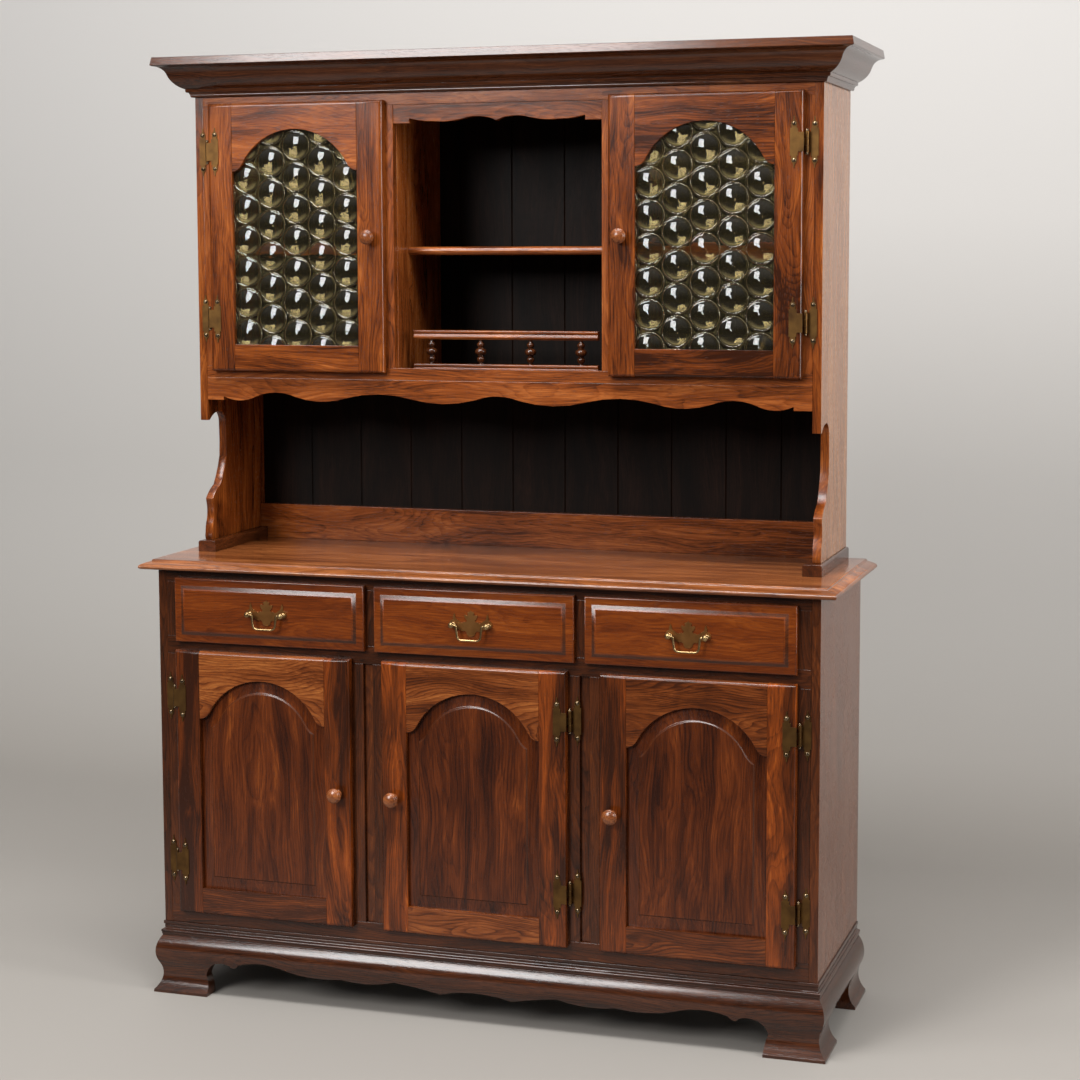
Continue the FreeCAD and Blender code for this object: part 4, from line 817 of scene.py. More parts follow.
def paint_step_shade(piece: bpy.types.Object, finish: Finish, deepest: float, nearest: float = -math.inf) -> None:
    """Darken the steep faces of a moulded step: painted shade in the step, where stain also gathers.

    Args:
        piece: a board that faces -Y.
        finish: its wood.
        deepest: how far back the painted shade reaches.
        nearest: how far forward it reaches.
    """
    piece.data.materials.append(finish.value.make())
    piece.data.materials.append(Finish.STEP.value.make())
    for face in piece.data.polygons:
        steep = 0.2 < -face.normal.y < 0.93
        face.material_index = int(steep and nearest < face.center.y / MM < deepest)


def dress(
    piece: bpy.types.Object,
    finish: Finish,
    body: str,
    slot: str,
    nodes: Iterable[str] = (),
    along: int | None = None,
    tone: float | None = None,
) -> bpy.types.Object:
    """Finish a piece and hang it on its body.

    Args:
        piece: the finished shape.
        finish: its material.
        body: the CAD body that it moves with.
        slot: the record's material slot; not used.
        nodes: the CAD nodes that it stands for.
        along: axis of the grain, or None for each board's longest side.
        tone: how pale its boards took the stain, or None for a draw.

    Returns:
        The piece.
    """
    if not piece.data.materials:
        piece.data.materials.append(finish.value.make())
    if isinstance(finish.value, StainedWood) and "grain" not in piece.data.attributes:
        lay_grain(piece, along, tone)
    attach(piece, body)
    if nodes:
        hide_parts(*nodes)
    log.info("%s: %d faces on %s", piece.name, len(piece.data.polygons), body)
    return piece


WOOD = "dark_stained_wood"
PLAIN = "drawer_and_inside_wood"
BRASS = "antique_brass"
CASE = "case"


# --- hinges ---


@dataclass
class Hinge:
    """A surface hinge: a leaf on the frame, a leaf on the door, and the barrel between them.

    The pivot is a plan position; side is 1 where the door runs to the right of the hinge and -1 where to the left.
    """

    side: int
    pivot_x: float
    frame_y: float
    door_y: float
    middle: float
    offset: float = 5.5
    stand: float = 9.0
    barrel: float = 4.0
    knuckles: float = 42.0
    web: float = 38.0
    thick: float = 1.8
    body_half: float = 8.0
    frame_reach: float = 2.0
    door_reach: float = 10.0

    @property
    def axis_y(self) -> float:
        """Depth of the pin's axis."""
        return self.frame_y - self.stand

    def leaf(self, near: float, reach: float, side: int, face: float) -> bpy.types.Object:
        """A leaf's plate: a web beside the barrel, a body, and an ogee point above and below with a screw's lobe."""
        centre = reach + self.body_half
        half: Outline = [
            (reach, 27.5), (centre - 4.6, 28.8, -0.9), (centre - 5.6, 35.0, 0.9), (centre - 3.4, 41.0, 0.9),
            (centre - 1.2, 46.5, -0.8), (centre, 51.0, 0.5), (centre + 1.2, 46.5, 0.5), (centre + 3.4, 41.0, -0.8),
            (centre + 5.6, 35.0, 0.9), (centre + 4.6, 28.8, 0.9), (centre + self.body_half, 27.5, -0.9),
        ]
        corner = [(0.0, self.web / 2), (reach, self.web / 2)]
        upper = corner + half
        lower = [(step[0], -step[1]) + tuple(-rise for rise in step[2:]) for step in upper]
        outline = upper + backwards(lower)
        outline[len(upper)] = outline[len(upper)][:2]
        placed = [(near + step[0] * side, self.middle + step[1]) + tuple(-r * side for r in step[2:]) for step in outline]
        piece = board("leaf", Plane.FRONT, placed, face - self.thick, self.thick)
        apply(piece, "BEVEL", width=0.45 * MM, segments=2, limit_method="ANGLE", angle_limit=math.radians(60))
        return piece

    def screws(self, x: float, face: float) -> list[bpy.types.Object]:
        """Two domed screws with a slot, one in each lobe."""
        heads = []
        for index, height in enumerate((36.0, -36.0)):
            profile = [(0, 0), (4.1, 0), (4.2, 0.5), (3.0, 1.7, 0.25), (0, 2.4, 0.35)]
            head = turned("screw", profile, Vector((0, 0, 0)), Vector((0, -1, 0)), 20)
            slot = board("slot", Plane.FRONT, rectangle(-5, 5, -0.5, 0.5), -4.0, 2.6)
            cut(head, slot)
            turn = Matrix.Rotation(0.7 + index * 0.9 + self.middle * 0.01 + x * 0.013, 4, "Y")
            head.data.transform(shift_matrix(Vector((x, face - self.thick, self.middle + height))) @ turn)
            heads.append(head)
        return heads

    def knuckle(self, low: float, high: float) -> bpy.types.Object:
        """One knuckle of the barrel."""
        tall = high - low
        profile = [
            (0, 0), (self.barrel - 0.4, 0), (self.barrel, 0.4, 0.1), (self.barrel, tall - 0.4),
            (self.barrel - 0.4, tall, 0.1), (0, tall),
        ]
        return turned("knuckle", profile, Vector((self.pivot_x, self.axis_y, low)), Vector((0, 0, 1)), 24)

    def tip(self, height: float, way: int) -> bpy.types.Object:
        """The ball on an end of the pin."""
        profile = [(0, -0.4), (2.6, -0.4), (2.0, 0.8, -0.2), (2.9, 2.4, 0.9), (1.6, 4.3, 0.7), (0, 4.9, 0.3)]
        return turned("tip", profile, Vector((self.pivot_x, self.axis_y, height)), Vector((0, 0, way)), 20)

    def frame_half(self) -> tuple[list[bpy.types.Object], list[bpy.types.Object]]:
        """The leaf on the frame with the outer knuckles and the pin's tips, and its screws."""
        near = self.pivot_x - self.barrel * self.side
        third = self.knuckles / 3
        low = self.middle - self.knuckles / 2
        pieces = [self.leaf(near, self.frame_reach, -self.side, self.frame_y)]
        for start in (low, low + 2 * third):
            pieces.append(self.knuckle(start, start + third - 0.15))
            strip = rectangle(*sorted((near, near + self.thick * self.side)), start, start + third - 0.15)
            pieces.append(board("strip", Plane.FRONT, strip, self.axis_y, self.stand - 0.3))
        for piece in pieces:
            smooth(piece, 40)
        pins = [self.tip(low, -1), self.tip(low + self.knuckles, 1)]
        screws = self.screws(near - (self.frame_reach + self.body_half) * self.side, self.frame_y)
        return pieces, pins + screws

    def door_half(self) -> tuple[list[bpy.types.Object], list[bpy.types.Object]]:
        """The leaf on the door with the middle knuckle, and its screws."""
        edge = self.pivot_x + self.offset * self.side
        near = edge - self.thick * self.side
        third = self.knuckles / 3
        low = self.middle - third / 2 + 0.2
        high = self.middle + third / 2 - 0.2
        reach = self.door_reach + self.thick
        pieces = [self.leaf(near, reach, self.side, self.door_y), self.knuckle(low, high)]
        strip = rectangle(*sorted((near, edge - 0.1 * self.side)), low, high)
        pieces.append(board("strip", Plane.FRONT, strip, self.door_y - self.thick + 0.3, self.axis_y - self.door_y + 4))
        for piece in pieces:
            smooth(piece, 40)
        return pieces, self.screws(near + (reach + self.body_half) * self.side, self.door_y)


def fit_metal(name: str, plates: list, bright: list, body: str, nodes: Iterable[str]) -> None:
    """Join a fitting's dull plates and its bright screws to one piece with two materials."""
    for piece in plates:
        piece.data.materials.append(Finish.LEAF.value.make())
    for piece in bright:
        smooth(piece, 40)
        piece.data.materials.append(Finish.SCREW.value.make())
    dress(join(name, plates + bright), Finish.LEAF, body, BRASS, nodes)


def hang(door: "Door", heights: Sequence[float]) -> list[Hinge]:
    """The hinges of a door at the given heights."""
    side = -door.hinge_side
    edge = door.room.left if side > 0 else door.room.right
    frame_y = door.room.back + 1.0
    return [Hinge(side, edge - 5.5 * side, frame_y, door.face, height) for height in heights]


# --- doors ---


@dataclass
class Arch:
    """The arched opening of a door, about its lower middle, in millimetres."""

    width: float
    height: float
    stile: float = 57.0
    rail: float = 57.0
    rise: float = 88.0
    shoulder: float = 24.0

    def outline(self, margin: float = 0.0) -> Outline:
        """The opening's outline, drawn in by margin."""
        opening = self.width / 2 - self.stile
        half = opening - margin
        top = self.height - self.rail
        reach = (opening**2 + self.rise**2) / (2 * self.rise)
        crown = reach - self.shoulder
        small = self.shoulder + margin
        centre = top - crown
        spring = top - self.rise + self.shoulder
        foot = spring - math.sqrt(small**2 - margin**2)
        share = (crown - margin) / reach
        turn_x = opening * share
        turn_z = centre + (spring - centre) * share
        chord = ((half - turn_x) ** 2 + (turn_z - foot) ** 2) / 4
        dip = small - math.sqrt(small**2 - chord)
        return [
            (-half, self.rail + margin),
            (half, self.rail + margin),
            (half, foot),
            (turn_x, turn_z, -dip),
            (-turn_x, turn_z, top - margin - turn_z),
            (-half, foot, -dip),
        ]

    def top_rail(self) -> Outline:
        """The rail over the opening."""
        opening = self.outline()
        half = self.width / 2 - self.stile
        arch = backwards([opening[index] for index in (2, 3, 4, 5)])
        arch[0] = arch[0][:2]
        return [(half, self.height), (-half, self.height)] + arch


@dataclass
class Door:
    """A framed door with its knob and the leaves of its two hinges.

    hinge_side is -1 where it hangs on its left edge and 1 where on its right. tones say how pale the left stile,
    the right stile, the bottom rail, the top rail and the panel took the stain.
    """

    body: str
    hinge_side: int
    tones: tuple[float, float, float, float, float]
    glazed: bool = False
    edge_round: float = 7.5
    lower_hinge: float = 112.0
    upper_hinge: float = 102.0

    def __post_init__(self) -> None:
        """Take the door's place from its frame."""
        self.room = extent(self.body + "_frame")
        self.face = self.room.front
        self.arch = Arch(self.room.right - self.room.left, self.room.high - self.room.low)

    def placed(self, steps: Outline) -> Outline:
        """Move an outline from the door's lower middle to its place."""
        return shifted(steps, self.room.middle, self.room.low)

    def on_rim(self, edge: bmesh.types.BMEdge) -> bool:
        """Whether an edge lies on the face, along the door's outside."""
        room = self.room
        ends = [vertex.co / MM for vertex in edge.verts]
        if any(abs(end.y - self.face) > 0.01 for end in ends):
            return False
        sides = ((0, room.left), (0, room.right), (2, room.low), (2, room.high))
        return any(all(abs(end[axis] - place) < 0.01 for end in ends) for axis, place in sides)

    def build_frame(self) -> None:
        """Two stiles, the bottom rail and the arched top rail."""
        width = self.arch.width / 2
        opening = width - self.arch.stile
        deep = self.room.back - self.room.front
        stile = Finish.HUTCH if self.glazed else Finish.DOOR_STILE
        rail = Finish.HUTCH if self.glazed else Finish.DOOR_RAIL
        members = (
            ("left_stile", rectangle(-width, -opening, 0, self.arch.height), stile, 2),
            ("right_stile", rectangle(opening, width, 0, self.arch.height), stile, 2),
            ("bottom_rail", rectangle(-opening, opening, 0, self.arch.rail), rail, 0),
            ("top_rail", self.arch.top_rail(), rail, 0),
        )
        for index, (name, steps, finish, along) in enumerate(members):
            piece = board("%s_%s" % (self.body, name), Plane.FRONT, self.placed(steps), self.face, deep)
            round_over(piece, self.edge_round, self.on_rim)
            soften(piece, 0.9)
            nodes = [self.body + "_frame"] if index == 0 else []
            dress(piece, finish, self.body, WOOD, nodes, along, self.tones[index])

    def build_panel(self) -> None:
        """A raised panel: field, step and sloping border, with its edge in the frame's groove."""
        border = 26.0
        face = self.face
        node = self.body + "_raised_panel"
        outline = self.arch.outline
        sections = (
            (outline(-7.5), face + 15.5),
            (outline(-7.4), face + 9.6),
            (outline(0.3), face + 9.5),
            (outline(border - 1.6), face + 5.4),
            (outline(border - 0.6), face + 5.1),
            (outline(border + 0.2), face + 4.4),
            (outline(border + 1.6), face + 2.9),
            (outline(border + 2.4), face + 2.5),
            (outline(border + 3.6), face + 2.4),
        )
        piece = stacked(node + "_board", Plane.FRONT, [(self.placed(steps), depth) for steps, depth in sections])
        smooth(piece, 28)
        # painted shade on the steep faces of the panel's step
        paint_step_shade(piece, Finish.PANEL, face + 5.3)
        dress(piece, Finish.PANEL, self.body, WOOD, [node], 2, self.tones[4])

    def build_knob(self) -> None:
        """A turned mushroom knob on the free stile."""
        node = self.body + "_knob"
        room = extent(node)
        centre = room.centre
        foot = Vector((centre.x, room.back, centre.z))
        wide = (room.right - room.left) / 2
        reach = room.back - room.front
        profile = [
            (0, 0), (9.4, 0), (9.4, 1.2), (8.0, 2.2, -0.4), (7.0, reach * 0.36, -0.9), (8.6, reach * 0.47, -0.5),
            (wide - 1.6, reach * 0.56, -0.8), (wide, reach * 0.66, 0.9), (wide - 1.8, reach * 0.8, 0.9),
            (wide - 5.5, reach * 0.93, 0.8), (0, reach, 0.9),
        ]
        piece = turned(node + "_turned", profile, foot, Vector((0, -1, 0)))
        smooth(piece, 35)
        dress(piece, Finish.KNOB, self.body, "turned_knob_wood", [node], 1)

    def build(self) -> None:
        """The whole door."""
        self.build_frame()
        if self.glazed:
            self.build_glass()
        else:
            self.build_panel()
        self.build_knob()
        self.build_hinge_leaves()

    def build_hinge_leaves(self) -> None:
        """The leaves that turn with the door."""
        plates: list[bpy.types.Object] = []
        screws: list[bpy.types.Object] = []
        for hinge in self.hinges():
            more_plates, more_screws = hinge.door_half()
            plates += more_plates
            screws += more_screws
        node = self.body + "_hinge_leaves"
        fit_metal(node + "_and_screws", plates, screws, self.body, [node])

    def hinges(self) -> list[Hinge]:
        """The door's two hinges."""
        return hang(self, (self.room.low + self.lower_hinge, self.room.high - self.upper_hinge))

    def build_glass(self) -> None:
        """A pane of bull's-eye glass behind the arch, its roundels in five upright rows."""
        node = self.body + "_bullseye_glass"
        room = extent(node)
        gap = Roundels.crown_gap if self.hinge_side < 0 else 54.0
        pane = Roundels(self.arch, self.room, gap).sheet(node + "_relief", room)
        dress(pane, Finish.GLASS, self.body, "bullseye_glass", [node])


@dataclass
class Roundels:
    """The relief of bull's-eye glass: domed roundels with a rounded rim, on a six-sided lattice."""

    arch: Arch
    door: Extent
    crown_gap: float = 34.0
    pitch: float = 66.6
    around: int = 36
    dome: float = 28.4
    swell: float = 6.6
    columns: int = 3
    rows: int = 7

    def relief(self) -> list[tuple[float, float]]:
        """Radius and height of each ring of a roundel, from its pip to the six-sided edge."""
        rings = [(1.1, self.swell + 0.7), (2.0, self.swell + 0.25), (3.2, self.swell - 0.1)]
        for share in (0.3, 0.45, 0.6, 0.72, 0.82, 0.91, 0.97):
            rings.append((self.dome * share, self.swell * (1 - share**2)))
        rim = self.dome + 2.3
        for turn in (180, 150, 120, 90, 60, 30, 0):
            angle = math.radians(turn)
            rings.append((rim + 2.0 * math.cos(angle), 0.2 + 1.9 * math.sin(angle)))
        return rings

    def centres(self) -> list[tuple[float, float]]:
        """Where the roundels' middles are: a column of them hangs from the crown of the arch."""
        column = self.pitch * math.sqrt(3) / 2
        crown = self.door.high - self.arch.rail - self.crown_gap
        places = []
        for side in range(-self.columns, self.columns + 1):
            drop = self.pitch / 2 if side % 2 else 0.0
            for row in range(-1, self.rows + 1):
                places.append((self.door.middle + side * column, crown - drop - row * self.pitch))
        return places

    def tile(self) -> bpy.types.Object:
        """One roundel in its six-sided piece of the sheet, facing -Y, its middle at the origin."""
        rings = self.relief()
        deselect()
        bpy.ops.mesh.primitive_circle_add(
            vertices=self.around, radius=rings[0][0] * MM, fill_type="TRIFAN", rotation=(math.pi / 2, 0, 0)
        )
        piece = bpy.context.object
        bpy.ops.object.transform_apply(location=False, rotation=True, scale=False)
        piece.data.transform(shift_matrix(Vector((0, -rings[0][1], 0))))
        bpy.ops.object.mode_set(mode="EDIT")
        select_edges(piece, lambda edge: edge.is_boundary)
        radius, height = rings[0]
        for next_radius, next_height in rings[1:] + [(self.pitch / 2, 0.2)]:
            bpy.ops.mesh.extrude_edges_move(TRANSFORM_OT_translate={"value": (0, (height - next_height) * MM, 0)})
            share = next_radius / radius
            bpy.ops.transform.resize(value=(share, 1, share), center_override=(0, 0, 0))
            radius, height = next_radius, next_height
        bpy.ops.object.mode_set(mode="OBJECT")
        self.square_rim(piece)
        return piece

    def square_rim(self, piece: bpy.types.Object) -> None:
        """Move the outermost points out to the six-sided outline."""
        half = self.pitch / 2 * MM
        wedge = math.radians(60)
        for vertex in piece.data.vertices:
            if math.hypot(vertex.co.x, vertex.co.z) < half - MERGE:
                continue
            angle = math.atan2(vertex.co.z, vertex.co.x)
            reach = half / math.cos((angle % wedge) - wedge / 2)
            vertex.co.x = reach * math.cos(angle)
            vertex.co.z = reach * math.sin(angle)

    def sheet(self, name: str, pane: Extent) -> bpy.types.Object:
        """A sheet of roundels trimmed to the pane's outline.

        Args:
            name: name of the sheet.
            pane: the room that the plain pane takes.

        Returns:
            The sheet.
        """
        tile = self.tile()
        tiles = [copied(tile, "tile", Vector((x, pane.front, z))) for x, z in self.centres()]
        bpy.data.objects.remove(tile)
        sheet = join(name, tiles)
        take(sheet)
        bpy.ops.object.mode_set(mode="EDIT")
        bpy.ops.mesh.select_all(action="SELECT")
        bpy.ops.mesh.remove_doubles(threshold=0.2 * MM)
        select_edges(sheet, lambda edge: edge.is_boundary)
        deep = pane.back - pane.front
        bpy.ops.mesh.extrude_edges_move(TRANSFORM_OT_translate={"value": (0, deep * MM, 0)})
        bpy.ops.transform.resize(value=(1, 0, 1), center_override=(0, pane.back * MM, 0))
        bpy.ops.mesh.edge_face_add()
        bpy.ops.mesh.select_all(action="SELECT")
        bpy.ops.mesh.normals_make_consistent(inside=False)
        bpy.ops.object.mode_set(mode="OBJECT")
        outline = shifted(self.arch.outline(-7.7), self.door.middle, self.door.low)
        trim = board("trim", Plane.FRONT, outline, pane.front - 10, deep + 20)
        apply(sheet, "BOOLEAN", operation="INTERSECT", solver="EXACT", object=trim)
        bpy.data.objects.remove(trim)
        self.mark(sheet)
        take(sheet)
        bpy.ops.object.shade_smooth_by_angle(angle=math.radians(50))
        return sheet

    def mark(self, sheet: bpy.types.Object) -> None:
        """Write where each point lies in its roundel, as shares of the dome's radius."""
        places = self.centres()
        eye = sheet.data.attributes.new("eye", "FLOAT_VECTOR", "POINT")
        for index, vertex in enumerate(sheet.data.vertices):
            x, z = vertex.co.x / MM, vertex.co.z / MM
            nearest = min(places, key=lambda place: (place[0] - x) ** 2 + (place[1] - z) ** 2)
            eye.data[index].vector = ((x - nearest[0]) / self.dome, (z - nearest[1]) / self.dome, 0)


# --- drawers ---


class Wire:
    """A round wire that is drawn and bent from its end, in the front plane."""

    def __init__(self, name: str, start: Vector, radius: float, around: int = 14) -> None:
        """Start with the wire's end face, across X.

        Args:
            name: name of the piece.
            start: middle of the end, in millimetres.
            radius: of the wire.
            around: facets around it.
        """
        deselect()
        bpy.ops.mesh.primitive_circle_add(
            vertices=around, radius=radius * MM, fill_type="NGON", location=start * MM, rotation=(0, math.pi / 2, 0)
        )
        self.piece = bpy.context.object
        self.piece.name = name
        bpy.ops.object.transform_apply(location=True, rotation=True, scale=False)
        bpy.ops.object.mode_set(mode="EDIT")
        bpy.ops.mesh.select_mode(type="FACE")
        bpy.ops.mesh.select_all(action="SELECT")
        self.place = Vector(start)
        self.heading = 0.0

    def ahead(self, length: float) -> Vector:
        """The move along the heading."""
        return Vector((math.cos(self.heading), 0, math.sin(self.heading))) * length

    def straight(self, length: float) -> None:
        """Draw the wire on."""
        move = self.ahead(length)
        bpy.ops.mesh.extrude_region_move(TRANSFORM_OT_translate={"value": move * MM})
        self.place += move

    def bend(self, angle: float, radius: float) -> None:
        """Bend it by an angle in degrees, upwards if positive."""
        turn = math.radians(angle)
        side = 1 if turn > 0 else -1
        arm = Vector((-math.sin(self.heading), 0, math.cos(self.heading))) * radius * side
        centre = self.place + arm
        steps = max(3, round(abs(angle) / 10))
        bpy.ops.mesh.spin(steps=steps, angle=turn, center=centre * MM, axis=(0, 1, 0))
        spun = Matrix.Rotation(-turn, 3, "Y")
        self.place = centre + spun @ (self.place - centre)
        self.heading += turn

    def finish(self) -> bpy.types.Object:
        """Close the wire."""
        bpy.ops.mesh.select_all(action="SELECT")
        bpy.ops.mesh.remove_doubles(threshold=MERGE)
        bpy.ops.mesh.normals_make_consistent(inside=False)
        bpy.ops.object.mode_set(mode="OBJECT")
        return self.piece


@dataclass
class Pull:
    """A bat-wing pull: its plate, two posts with ball heads and the bail that swings between them."""

    side: str
    front: Extent
    spacing: float = 76.0
    wire: float = 2.2
    ball: float = 6.0
    thick: float = 1.5
    drop: float = 30.0

    def __post_init__(self) -> None:
        """Take the bail's axis from its node."""
        room = extent(self.side + "_pull_bail")
        self.axis = Vector((self.front.middle, (room.front + room.back) / 2, (self.front.low + self.front.high) / 2))
        self.face = self.front.front - self.thick

    def plate(self) -> bpy.types.Object:
        """The plate: lobed below, winged at the sides, a finial above."""
        post = self.spacing / 2
        half: Outline = [
            (0, -24), (9, -19, 1.5), (11.5, -13.5, -0.8), (16, -13, -1.0), (27, -8.5, 1.2), (post + 2, -6, 1.5),
            (post + 8, 3, 2.4), (post + 3.5, 9.5, 1.0), (post, 12, -0.8), (post - 0.5, 19, 1.0), (post - 1, 24, -0.6),
            (post - 4.5, 17, 0.9), (27, 9, -1.8), (17, 4.5, -1.6), (11.5, 5.5, 1.2), (8.5, 10, -0.8),
            (12, 14, 0.8), (14, 20, 0.8), (8.5, 19.5, 0.8), (5.5, 22, -0.6), (7, 26, 0.7), (3.0, 27, 0.6),
            (0, 31.8, -0.7),
        ]
        steps = mirrored(half)
        outline = shifted([steps.pop()] + steps[1:], self.axis.x, self.axis.z)
        piece = board("plate", Plane.FRONT, outline, self.face, self.thick)
        apply(piece, "BEVEL", width=0.5 * MM, segments=2, limit_method="ANGLE", angle_limit=math.radians(60))
        smooth(piece, 40)
        return piece

    def post(self, side: int) -> bpy.types.Object:
        """A turned post with a ball head, bored for the bail's end."""
        stand = self.face - self.axis.y
        ball = self.ball
        profile = [
            (0, 0), (4.6, 0), (4.8, 0.8, 0.2), (3.4, 1.8, 0.2), (2.5, 3.2, -0.3), (2.4, 5.2), (3.6, 6.0, 0.3),
            (3.6, 6.9, 0.3), (3.0, stand - 5.2), (ball, stand, 1.2), (3.4, stand + 4.95, 1.1), (0, stand + ball, 0.8),
        ]
        foot = Vector((self.axis.x + side * self.spacing / 2, self.face, self.axis.z))
        piece = turned("post", profile, foot, Vector((0, -1, 0)), 28)
        start = foot.x - 0.5 if side < 0 else foot.x - ball - 0.5
        hole = turned(
            "hole", [(0, 0), (self.wire + 0.15, 0), (self.wire + 0.15, ball + 1), (0, ball + 1)],
            Vector((start, self.axis.y, self.axis.z)), Vector((1, 0, 0)), 16,
        )
        cut(piece, hole)
        smooth(piece, 35)
        return piece

    def bail(self) -> bpy.types.Object:
        """The bail: in from the posts, down, round the corners and across."""
        start = self.axis - Vector((self.spacing / 2, 0, 0))
        wire = Wire(self.side + "_pull_bail_wire", start, self.wire)
        lead, lean, shoulder, corner = 7.0, 83.0, 3.5, 9.5
        slope = math.radians(lean)
        fall = self.drop - (shoulder + corner) * (1 - math.cos(slope))
        leg = fall / math.sin(slope)
        reach = lead + (shoulder + corner) * math.sin(slope) + leg * math.cos(slope)
        wire.straight(lead)
        wire.bend(-lean, shoulder)
        wire.straight(leg)
        wire.bend(lean, corner)
        wire.straight(self.spacing - 2 * reach)
        wire.bend(lean, corner)
        wire.straight(leg)
        wire.bend(-lean, shoulder)
        wire.straight(lead)
        piece = wire.finish()
        smooth(piece, 50)
        return piece

    def build(self) -> None:
        """The whole pull."""
        node = self.side + "_pull_plate_and_posts"
        body = self.side + "_drawer"
        posts = [self.post(side) for side in (-1, 1)]
        plate = self.plate()
        plate.data.materials.append(Finish.PLATE.value.make())
        for post in posts:
            post.data.materials.append(Finish.BAIL.value.make())
        whole = join(self.side + "_pull_plate_and_ball_posts", [plate] + posts)
        dress(whole, Finish.PLATE, body, BRASS, [node])
        dress(self.bail(), Finish.BAIL, self.side + "_pull_bail", BRASS, [self.side + "_pull_bail"])


@dataclass
class Drawer:
    """A drawer: its moulded front, its box and its bat-wing pull."""

    side: str

    def __post_init__(self) -> None:
        """Take the drawer's place from its front."""
        self.body = self.side + "_drawer"
        self.room = extent(self.body + "_front")

    def build_front(self) -> None:
        """A field a step above a sloping border, with a rounded outer edge."""
        room = self.room
        node = self.body + "_front"

        def at(margin: float) -> Outline:
            """The front's rectangle, drawn in by margin."""
            return rectangle(room.left + margin, room.right - margin, room.low + margin, room.high - margin)

        face = room.front
        sections = (
            (at(0.6), room.back), (at(0), room.back - 0.6), (at(0), face + 9.0), (at(0.35), face + 7.4),
            (at(1.3), face + 6.2), (at(2.8), face + 5.6), (at(15.0), face + 4.8), (at(16.2), face + 4.4),
            (at(17.6), face + 3.7), (at(22.0), face + 1.7), (at(24.2), face + 0.7), (at(26.0), face),
        )
        piece = stacked(node + "_board", Plane.FRONT, sections)
        smooth(piece, 35)
        # painted shade on the outer part of the drawer front's step
        paint_step_shade(piece, Finish.DRAWER, face + 4.4, face + 2.0)
        dress(piece, Finish.DRAWER, self.body, WOOD, [node], 0)

    def build(self) -> None:
        """The whole drawer."""
        self.build_front()
        box = merged_copy(self.body + "_box", self.body + "_box_boards")
        soften(box, 0.8)
        dress(box, Finish.RAW, self.body, PLAIN, [self.body + "_box"])
        Pull(self.side, self.room).build()


# --- base cabinet ---


@dataclass
class PlainBoards:
    """Boards whose CAD shape is right: their edges are eased and they get their wood."""

    node: str
    finish: Finish
    slot: str = WOOD
    ease: float = 1.0
    along: int | None = None
    front: Finish | None = None

    def build(self) -> None:
        """Ease and finish the boards, their front edges perhaps in another finish."""
        piece = merged_copy(self.node, self.node + "_boards")
        soften(piece, self.ease)
        if self.front:
            piece.data.materials.append(self.finish.value.make())
            piece.data.materials.append(self.front.value.make())
            for face in piece.data.polygons:
                face.material_index = int(face.normal.y < -0.5)
        dress(piece, self.finish, CASE, self.slot, [self.node], self.along)


@dataclass
class Moulding:
    """A moulding round the front and both sides of the case, mitred at the corners.

    The profile's steps are (reach beyond the case, height), walked from the inner lower corner outwards and up.
    """

    name: str
    nodes: tuple[str, ...]
    profile: Outline
    half: float
    front: float
    back: float
    finish: Finish
    ease: float = 0.7

    def lengths(self) -> tuple[bpy.types.Object, bpy.types.Object]:
        """The front length and the right-hand one, mitred."""
        reach = max(step[0] for step in self.profile) + 1
        far = self.half + reach
        along_y = [(self.front - step[0], step[1]) + tuple(-rise for rise in step[2:3]) for step in self.profile]
        front = board(self.name + "_front", Plane.SIDE, along_y, -far, 2 * far)
        for side in (1, -1):
            bisect(front, Vector((self.half * side, self.front, 0)), Vector((side, 1, 0)))
        along_x = [(self.half + step[0],) + tuple(step[1:]) for step in self.profile]
        right = board(self.name + "_right", Plane.FRONT, along_x, self.front - reach, self.back - self.front + reach)
        bisect(right, Vector((self.half, self.front, 0)), Vector((1, 1, 0)), keep_outer=True)
        return front, right

    def build(self) -> None:
        """Make the three lengths."""
        front, right = self.lengths()
        self.finish_lengths(front, right)

    def finish_lengths(self, front: bpy.types.Object, right: bpy.types.Object) -> None:
        """Ease the edges, mirror the right-hand length and dress all three."""
        for piece in (front, right):
            soften(piece, self.ease)
        left = mirrored_copy(right, self.name + "_left")
        for index, piece in enumerate((front, right, left)):
            nodes = self.nodes[min(index, len(self.nodes) - 1)]
            dress(piece, self.finish, CASE, WOOD, [nodes], 0 if index == 0 else 1)


def half_width(node: str) -> float:
    """Half of a node's width, in millimetres."""
    room = extent(node)
    return (room.right - room.left) / 2


